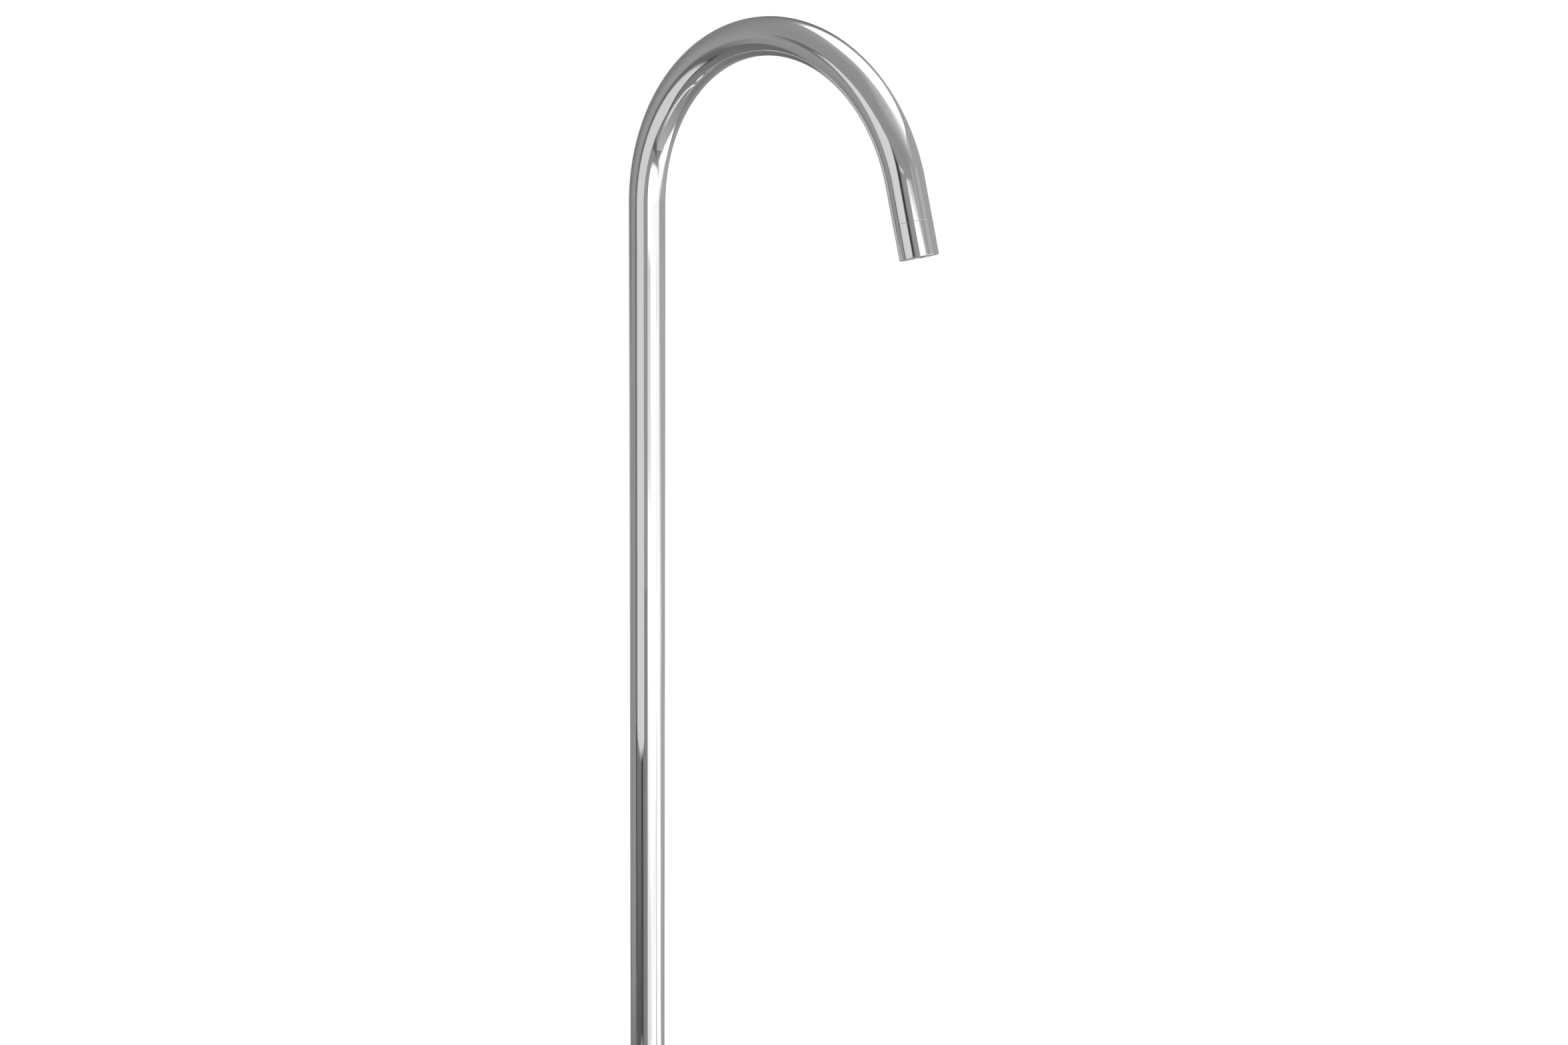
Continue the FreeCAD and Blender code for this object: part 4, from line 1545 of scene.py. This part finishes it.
@dataclass
class Studio:
    """The floor, the world, the lamp and what the chrome reflects."""

    cards: Sequence[Card]
    tent_tones: Sequence[float]
    aim: tuple[float, float, float] = (0.08, 0.0, 0.9)
    camera_turn: float = 45.5
    floor_size: float = 400.0
    floor_white: Colour = (0.93, 0.93, 0.93)
    world_light: float = 0.6
    floor_top_up: float = 0.1
    tent_radius: float = 9.0
    tent_segments: int = 64
    tent_rings: int = 32
    chrome_shows: float = 0.86
    over_white: float = 1.3
    hard_edge: float = 0.001
    lamp_strength: float = 1.45
    lamp_spread: float = math.radians(24)
    lamp_bearing: float = math.radians(120)
    lamp_height: float = math.radians(58)
    lamp_distance: float = 3.0

    def build(self) -> None:
        """Puts up the whole studio."""
        self.world()
        self.floor()
        self.tent()
        for card in self.cards:
            self.put_up(card)
        self.lamp()
        LOG.info("studio: %d cards", len(self.cards))

    @staticmethod
    def seen(graph: Graph) -> Term:
        """1 for what the camera sees, straight or in metal or glass, and 0 for lighting."""
        path = graph.node("ShaderNodeLightPath", output="Is Camera Ray")
        ways = path.socket.node.outputs
        glossy = Term(graph, ways["Is Glossy Ray"])
        through = Term(graph, ways["Is Transmission Ray"])
        return path.at_least(glossy).at_least(through)

    def world(self) -> None:
        """A white surround that lights softly."""
        world = bpy.data.worlds.new("studio_world")
        world.use_nodes = True
        bpy.context.scene.world = world
        graph = Graph(world.node_tree)
        strength = self.world_light + self.seen(graph) * (1.0 - self.world_light)
        inputs = {"Color": PURE_WHITE, "Strength": strength}
        light = graph.node("ShaderNodeBackground", {}, inputs)
        graph.node("ShaderNodeOutputWorld", {}, {"Surface": light})

    def floor_surface(self, graph: Graph) -> Term:
        """Matt white, topped up where it is seen."""
        matt = graph.node("ShaderNodeBsdfDiffuse", {}, {"Color": self.floor_white})
        light = graph.glow(PURE_WHITE, self.seen(graph) * self.floor_top_up)
        return graph.node("ShaderNodeAddShader", {}, {0: matt, 1: light})

    def floor(self) -> None:
        """A plain pale floor that runs out to white and keeps the object's shadow."""
        plane = added("studio_floor", bpy.ops.mesh.primitive_plane_add, size=self.floor_size)
        plane.data.materials.append(made_material("studio_floor", self.floor_surface))
        plane.visible_glossy = False

    def shown_as(self, tone: float) -> float:
        """The light that chrome shows as a tone."""
        return ((tone / FULL_TONE + SRGB_OFFSET) / SRGB_SCALE) ** SRGB_POWER / self.chrome_shows

    def only_reflected(self, piece: bpy.types.Object, material: bpy.types.Material) -> None:
        """Shows a stage piece to reflections alone."""
        material.cycles.emission_sampling = "NONE"
        piece.data.materials.append(material)
        for ray in ("camera", "diffuse", "shadow", "transmission", "volume_scatter"):
            setattr(piece, f"visible_{ray}", False)

    def tent_surface(self, graph: Graph) -> Term:
        """A grey that changes from the tent's bottom to its top."""
        rise = graph.axes(graph.node("ShaderNodeTexCoord", output="UV"))[1]
        last = len(self.tent_tones) - 1
        stops = [(number / last, self.shown_as(tone))
                 for number, tone in enumerate(self.tent_tones)]
        return graph.glow(graph.ramp(rise, stops), 1.0)

    def tent(self) -> None:
        """A grey tent round everything, which gives the chrome its middle grey."""
        tent = added("grey_tent", bpy.ops.mesh.primitive_uv_sphere_add, radius=self.tent_radius,
                     segments=self.tent_segments, ring_count=self.tent_rings, location=self.aim)
        self.only_reflected(tent, made_material("grey_tent", self.tent_surface))

    def corner(self, card: Card, number: int) -> Vector:
        """One corner of a card.

        Args:
            card: The card.
            number: Which of its corners.

        Returns:
            The corner's place.
        """
        bearing, second = card.corners[number]
        turn = math.radians(bearing + self.camera_turn)
        if card.stand is Stand.NEAR:
            return Vector((card.distance * math.sin(turn), -card.distance * math.cos(turn), second))
        return Vector(self.aim) + towards(turn, math.radians(second)) * card.distance

    def card_surface(self, graph: Graph, card: Card) -> Term:
        """A glow that grades from a card's bottom to its top and fades out at its soft edges.

        Args:
            graph: The graph of the card's material.
            card: The card.

        Returns:
            The shader's output.
        """
        across, up, _ = graph.axes(graph.node("ShaderNodeTexCoord", output="UV"))
        low, high = card.tones
        tone = low + up * (high - low)
        held = (tone.at_most(FULL_TONE) * (1 / FULL_TONE) + SRGB_OFFSET) * (1 / SRGB_SCALE)
        plain = held ** SRGB_POWER * (1 / self.chrome_shows)
        more = tone * (self.over_white / FULL_TONE) - 1.0
        over = tone.above(FULL_TONE) * more * (1 / self.chrome_shows)
        light = graph.glow(card.tint, plain + over)
        mask = None
        for share, width in zip((across, 1.0 - across, up, 1.0 - up), card.soft):
            if width > self.hard_edge:
                fade = (share * (1 / width)).eased()
                mask = fade if mask is None else mask * fade
        if mask is None:
            return light
        clear = graph.node("ShaderNodeBsdfTransparent")
        return graph.node("ShaderNodeMixShader", {}, {0: mask, 1: clear, 2: light})

    def put_up(self, card: Card) -> None:
        """Stands one card in its place, by moving a plane's four corners.

        Args:
            card: The card.
        """
        plane = added(card.name, bpy.ops.mesh.primitive_plane_add, size=1.0)
        for vertex, number in zip(plane.data.vertices, (0, 1, 3, 2)):
            vertex.co = self.corner(card, number)
        bpy.ops.object.mode_set(mode="EDIT")
        bpy.ops.mesh.select_all(action="SELECT")
        bpy.ops.mesh.quads_convert_to_tris(quad_method="FIXED")
        bpy.ops.object.mode_set(mode="OBJECT")
        material = made_material(card.name, lambda graph: self.card_surface(graph, card))
        self.only_reflected(plane, material)

    def lamp(self) -> None:
        """One wide soft lamp from high behind, for the floor's shadow and the matt pieces."""
        data = bpy.data.lights.new("high_lamp", "SUN")
        data.energy = self.lamp_strength
        data.angle = self.lamp_spread
        lamp = bpy.data.objects.new("high_lamp", data)
        turn = self.lamp_bearing + math.radians(self.camera_turn)
        aimed = towards(turn, self.lamp_height)
        lamp.location = aimed * self.lamp_distance
        lamp.rotation_euler = aimed.to_track_quat("Z", "Y").to_euler()
        lamp.visible_glossy = False
        bpy.context.collection.objects.link(lamp)


TENT_TONES = (129.0, 119.0, 139.0, 148.0, 140.0, 143.0, 169.0)
STUDIO_CARDS = (
    Card("upper_right_grey", Stand.FAR, 7.6, (181.0, 229.0), (0.82, 0.40, 0.21, 0.94),
         ((-21.0, 31.6), (92.3, -0.5), (126.3, 55.2), (-44.3, 84.7))),
    Card("left_grey", Stand.FAR, 7.5, (95.0, 158.0), (0.72, 0.41, 0.31, 0.32),
         ((-212.3, -18.6), (-103.0, -25.8), (-87.8, 54.9), (-201.2, 45.4))),
    Card("low_left_dark", Stand.FAR, 7.4, (119.0, 101.0), (0.00, 0.34, 0.00, 0.11),
         ((-188.2, -50.0), (-47.5, -56.3), (-64.7, -20.8), (-178.1, -13.4))),
    Card("low_right", Stand.FAR, 7.3, (122.0, 177.0), (0.32, 0.06, 0.17, 0.00),
         ((-23.0, -67.5), (126.2, -65.9), (105.7, -20.4), (-8.3, -29.3))),
    Card("rear_dark", Stand.FAR, 7.2, (83.0, 88.0), (0.29, 0.00, 0.12, 0.47),
         ((157.7, 17.9), (193.0, 2.3), (190.6, 45.4), (161.5, 38.4))),
    Card("rear_light", Stand.FAR, 7.1, (249.0, 265.0), (0.41, 0.24, 0.44, 0.28),
         ((178.8, -23.6), (224.1, -30.9), (212.1, 20.3), (169.1, 19.9))),
    Card("overhead_softbox", Stand.FAR, 6.5, (260.0, 322.0), (0.39, 0.26, 0.00, 0.22),
         ((49.9, 32.3), (138.4, 20.0), (196.1, 46.5), (289.9, 79.4))),
    Card("left_bright", Stand.FAR, 6.1, (230.0, 255.0), (0.43, 0.06, 0.72, 0.24),
         ((-155.7, -27.9), (-135.5, -18.2), (-122.6, -7.8), (-154.5, -5.0))),
    Card("right_grey", Stand.FAR, 6.0, (153.0, 173.0), (0.43, 0.49, 0.40, 0.11),
         ((84.2, -29.6), (167.6, -25.2), (163.9, 4.2), (83.9, -0.8))),
    Card("right_upper_grey", Stand.FAR, 5.8, (157.0, 158.0), (0.36, 0.17, 0.05, 0.12),
         ((53.0, -2.1), (173.0, -7.9), (163.4, 20.8), (42.1, 18.0))),
    Card("warm_band", Stand.FAR, 5.75, (171.0, 162.0), (0.24, 0.70, 0.08, 0.27),
         ((35.7, 15.7), (60.4, 13.4), (61.3, 27.1), (39.2, 31.1)), (1.02, 1.0, 0.98)),
    Card("pale_band", Stand.FAR, 5.7, (206.0, 211.0), (0.02, 0.30, 0.20, 0.20),
         ((61.5, 9.4), (97.7, 5.7), (102.5, 20.3), (65.3, 23.6)), (1.01, 1.0, 0.985)),
    Card("dim_band", Stand.FAR, 5.65, (150.0, 148.0), (0.30, 0.30, 0.20, 0.20),
         ((102.0, 2.0), (135.0, -6.0), (138.0, 12.0), (106.0, 20.0))),
    Card("right_softbox_low", Stand.FAR, 5.4, (289.0, 232.0), (0.19, 0.00, 0.29, 0.36),
         ((41.9, -35.8), (111.0, -47.9), (112.5, -12.1), (80.3, 1.2))),
    Card("right_softbox", Stand.FAR, 5.3, (330.0, 241.0), (0.05, 0.00, 0.35, 0.02),
         ((-0.1, -29.3), (63.9, -27.6), (81.7, -5.9), (3.7, 0.2))),
    Card("brown_patch", Stand.FAR, 5.1, (104.0, 112.0), (0.27, 0.38, 0.22, 0.10),
         ((-44.2, -0.1), (-22.0, -1.8), (-16.0, 15.3), (-26.9, 13.1)), (1.03, 1.0, 0.97)),
    Card("black_spot", Stand.FAR, 5.0, (49.0, 62.0), (0.39, 0.36, 0.35, 0.34),
         ((-42.0, -1.8), (-27.0, 3.0), (-20.0, 19.7), (-41.5, 22.2)), (1.04, 1.0, 0.97)),
    Card("upper_left_frame", Stand.FAR, 4.95, (93.0, 110.0), (0.14, 0.00, 0.08, 0.29),
         ((-88.8, -4.0), (-37.1, -5.1), (-41.4, 22.9), (-89.5, 15.3))),
    Card("upper_left_panel", Stand.FAR, 4.8, (207.0, 213.0), (0.17, 0.15, 0.17, 0.20),
         ((-86.2, -6.3), (-38.3, -11.4), (-34.5, 20.1), (-83.5, 13.7))),
    Card("bright_spot", Stand.FAR, 4.7, (262.0, 222.0), (0.36, 0.23, 0.46, 0.47),
         ((-67.2, 13.4), (-56.2, 11.3), (-43.6, 19.2), (-71.2, 19.5))),
    Card("small_streaks", Stand.FAR, 4.7, (199.0, 210.0), (0.28, 0.26, 0.36, 0.40),
         ((-21.5, 14.5), (-2.3, 16.5), (-4.3, 19.3), (-22.7, 17.0))),
    Card("right_strip", Stand.FAR, 4.6, (225.0, 288.0), (0.20, 0.27, 0.88, 0.39),
         ((0.4, 5.8), (49.7, 12.4), (40.1, 19.6), (-0.7, 17.5))),
    Card("far_streak", Stand.FAR, 4.6, (225.0, 222.0), (0.30, 0.30, 0.44, 0.44),
         ((113.6, 9.6), (132.0, 6.1), (130.1, 9.6), (114.0, 15.0))),
    Card("dark_arm_left", Stand.FAR, 4.5, (101.0, 96.0), (0.08, 0.29, 0.05, 0.26),
         ((-25.0, -36.0), (22.4, -37.7), (33.4, -32.6), (-18.0, -30.1))),
    Card("dark_arm_right", Stand.FAR, 4.4, (167.0, 245.0), (0.57, 0.08, 0.40, 0.41),
         ((29.1, -39.8), (68.9, -30.6), (68.5, -16.6), (35.7, -37.1))),
    Card("nose_pale_band", Stand.FAR, 2.0, (176.0, 175.0), (0.42, 0.54, 0.20, 0.08),
         ((68.6, 1.7), (95.3, -0.1), (88.9, 20.4), (63.1, 24.2))),
    Card("left_dark_strip", Stand.NEAR, 0.75, (96.0, 105.0), (0.53, 0.18, 0.01, 0.09),
         ((-88.6, 0.02), (-72.0, -0.05), (-64.7, 0.88), (-86.4, 0.82))),
    Card("low_dark_card", Stand.NEAR, 0.72, (81.0, 118.0), (0.17, 0.11, 0.08, 0.00),
         ((-78.3, -0.09), (-38.6, -0.08), (-36.4, 0.24), (-76.7, 0.28))),
    Card("low_grey_card", Stand.NEAR, 0.71, (90.0, 120.0), (0.13, 0.16, 0.04, 0.08),
         ((-39.7, -0.07), (-13.6, -0.09), (-5.1, 0.28), (-34.5, 0.29))),
    Card("low_dark_edge", Stand.NEAR, 0.705, (76.0, 77.0), (0.30, 0.33, 0.00, 0.00),
         ((-80.0, -0.06), (-65.6, -0.05), (-67.3, 0.28), (-81.3, 0.27))),
    Card("low_black_edge", Stand.NEAR, 0.7, (48.0, 40.0), (0.30, 0.15, 0.00, 0.02),
         ((-43.0, -0.07), (-27.6, -0.04), (-27.5, 0.29), (-41.1, 0.29))),
    Card("left_panel", Stand.NEAR, 0.56, (205.0, 206.0), (0.19, 0.12, 0.03, 0.15),
         ((-72.2, 0.31), (-16.6, 0.30), (-18.2, 0.88), (-69.1, 0.92))),
    Card("riser_right_grey", Stand.NEAR, 0.14, (148.0, 166.0), (0.30, 0.18, 0.39, 0.15),
         ((82.2, 0.08), (171.3, 0.06), (176.3, 0.51), (83.1, 0.56))),
    Card("riser_mid_grey", Stand.NEAR, 0.135, (127.0, 128.0), (0.26, 0.34, 0.02, 0.01),
         ((-28.6, 0.09), (0.3, 0.08), (4.3, 0.57), (-19.5, 0.57))),
    Card("riser_mid_light", Stand.NEAR, 0.13, (191.0, 261.0), (0.20, 0.40, 0.30, 0.11),
         ((-2.0, 0.03), (28.0, 0.05), (25.0, 0.53), (0.8, 0.59))),
    Card("riser_right_softbox", Stand.NEAR, 0.125, (268.0, 234.0), (0.21, 0.57, 0.08, 0.45),
         ((16.3, 0.00), (102.2, 0.03), (103.5, 0.54), (14.5, 0.55))),
    Card("riser_low_band", Stand.NEAR, 0.115, (220.0, 224.0), (0.29, 0.30, 0.00, 0.19),
         ((6.0, -0.01), (27.4, 0.00), (24.2, 0.37), (6.6, 0.36))),
    Card("riser_pale_band", Stand.NEAR, 0.1, (229.0, 205.0), (0.14, 0.23, 0.38, 0.12),
         ((1.1, 0.59), (25.8, 0.56), (24.0, 0.84), (1.6, 0.85))),
    Card("riser_thin_line", Stand.NEAR, 0.07, (110.0, 238.0), (0.50, 0.50, 0.00, 0.10),
         ((53.0, 0.00), (67.0, 0.00), (62.0, 0.58), (57.0, 0.58))),
    Card("riser_thin_top", Stand.NEAR, 0.069, (215.0, 220.0), (0.50, 0.50, 0.15, 0.17),
         ((51.7, 0.54), (65.4, 0.55), (64.7, 0.85), (52.8, 0.85))),
)


def main() -> None:
    """Builds and dresses everything in order."""
    logging.basicConfig(level=logging.INFO, format="%(name)s: %(message)s")
    tube = SpoutTube()
    PhotoCamera().build(tube.bend_start)
    tube.build()
    Nose(tube.on_nose()).build()
    Swivel().build()
    Foot().build()
    Cover().build()
    Studio(STUDIO_CARDS, TENT_TONES).build()
    bpy.context.scene.view_settings.view_transform = "Standard"


if __name__ == "__main__":
    main()
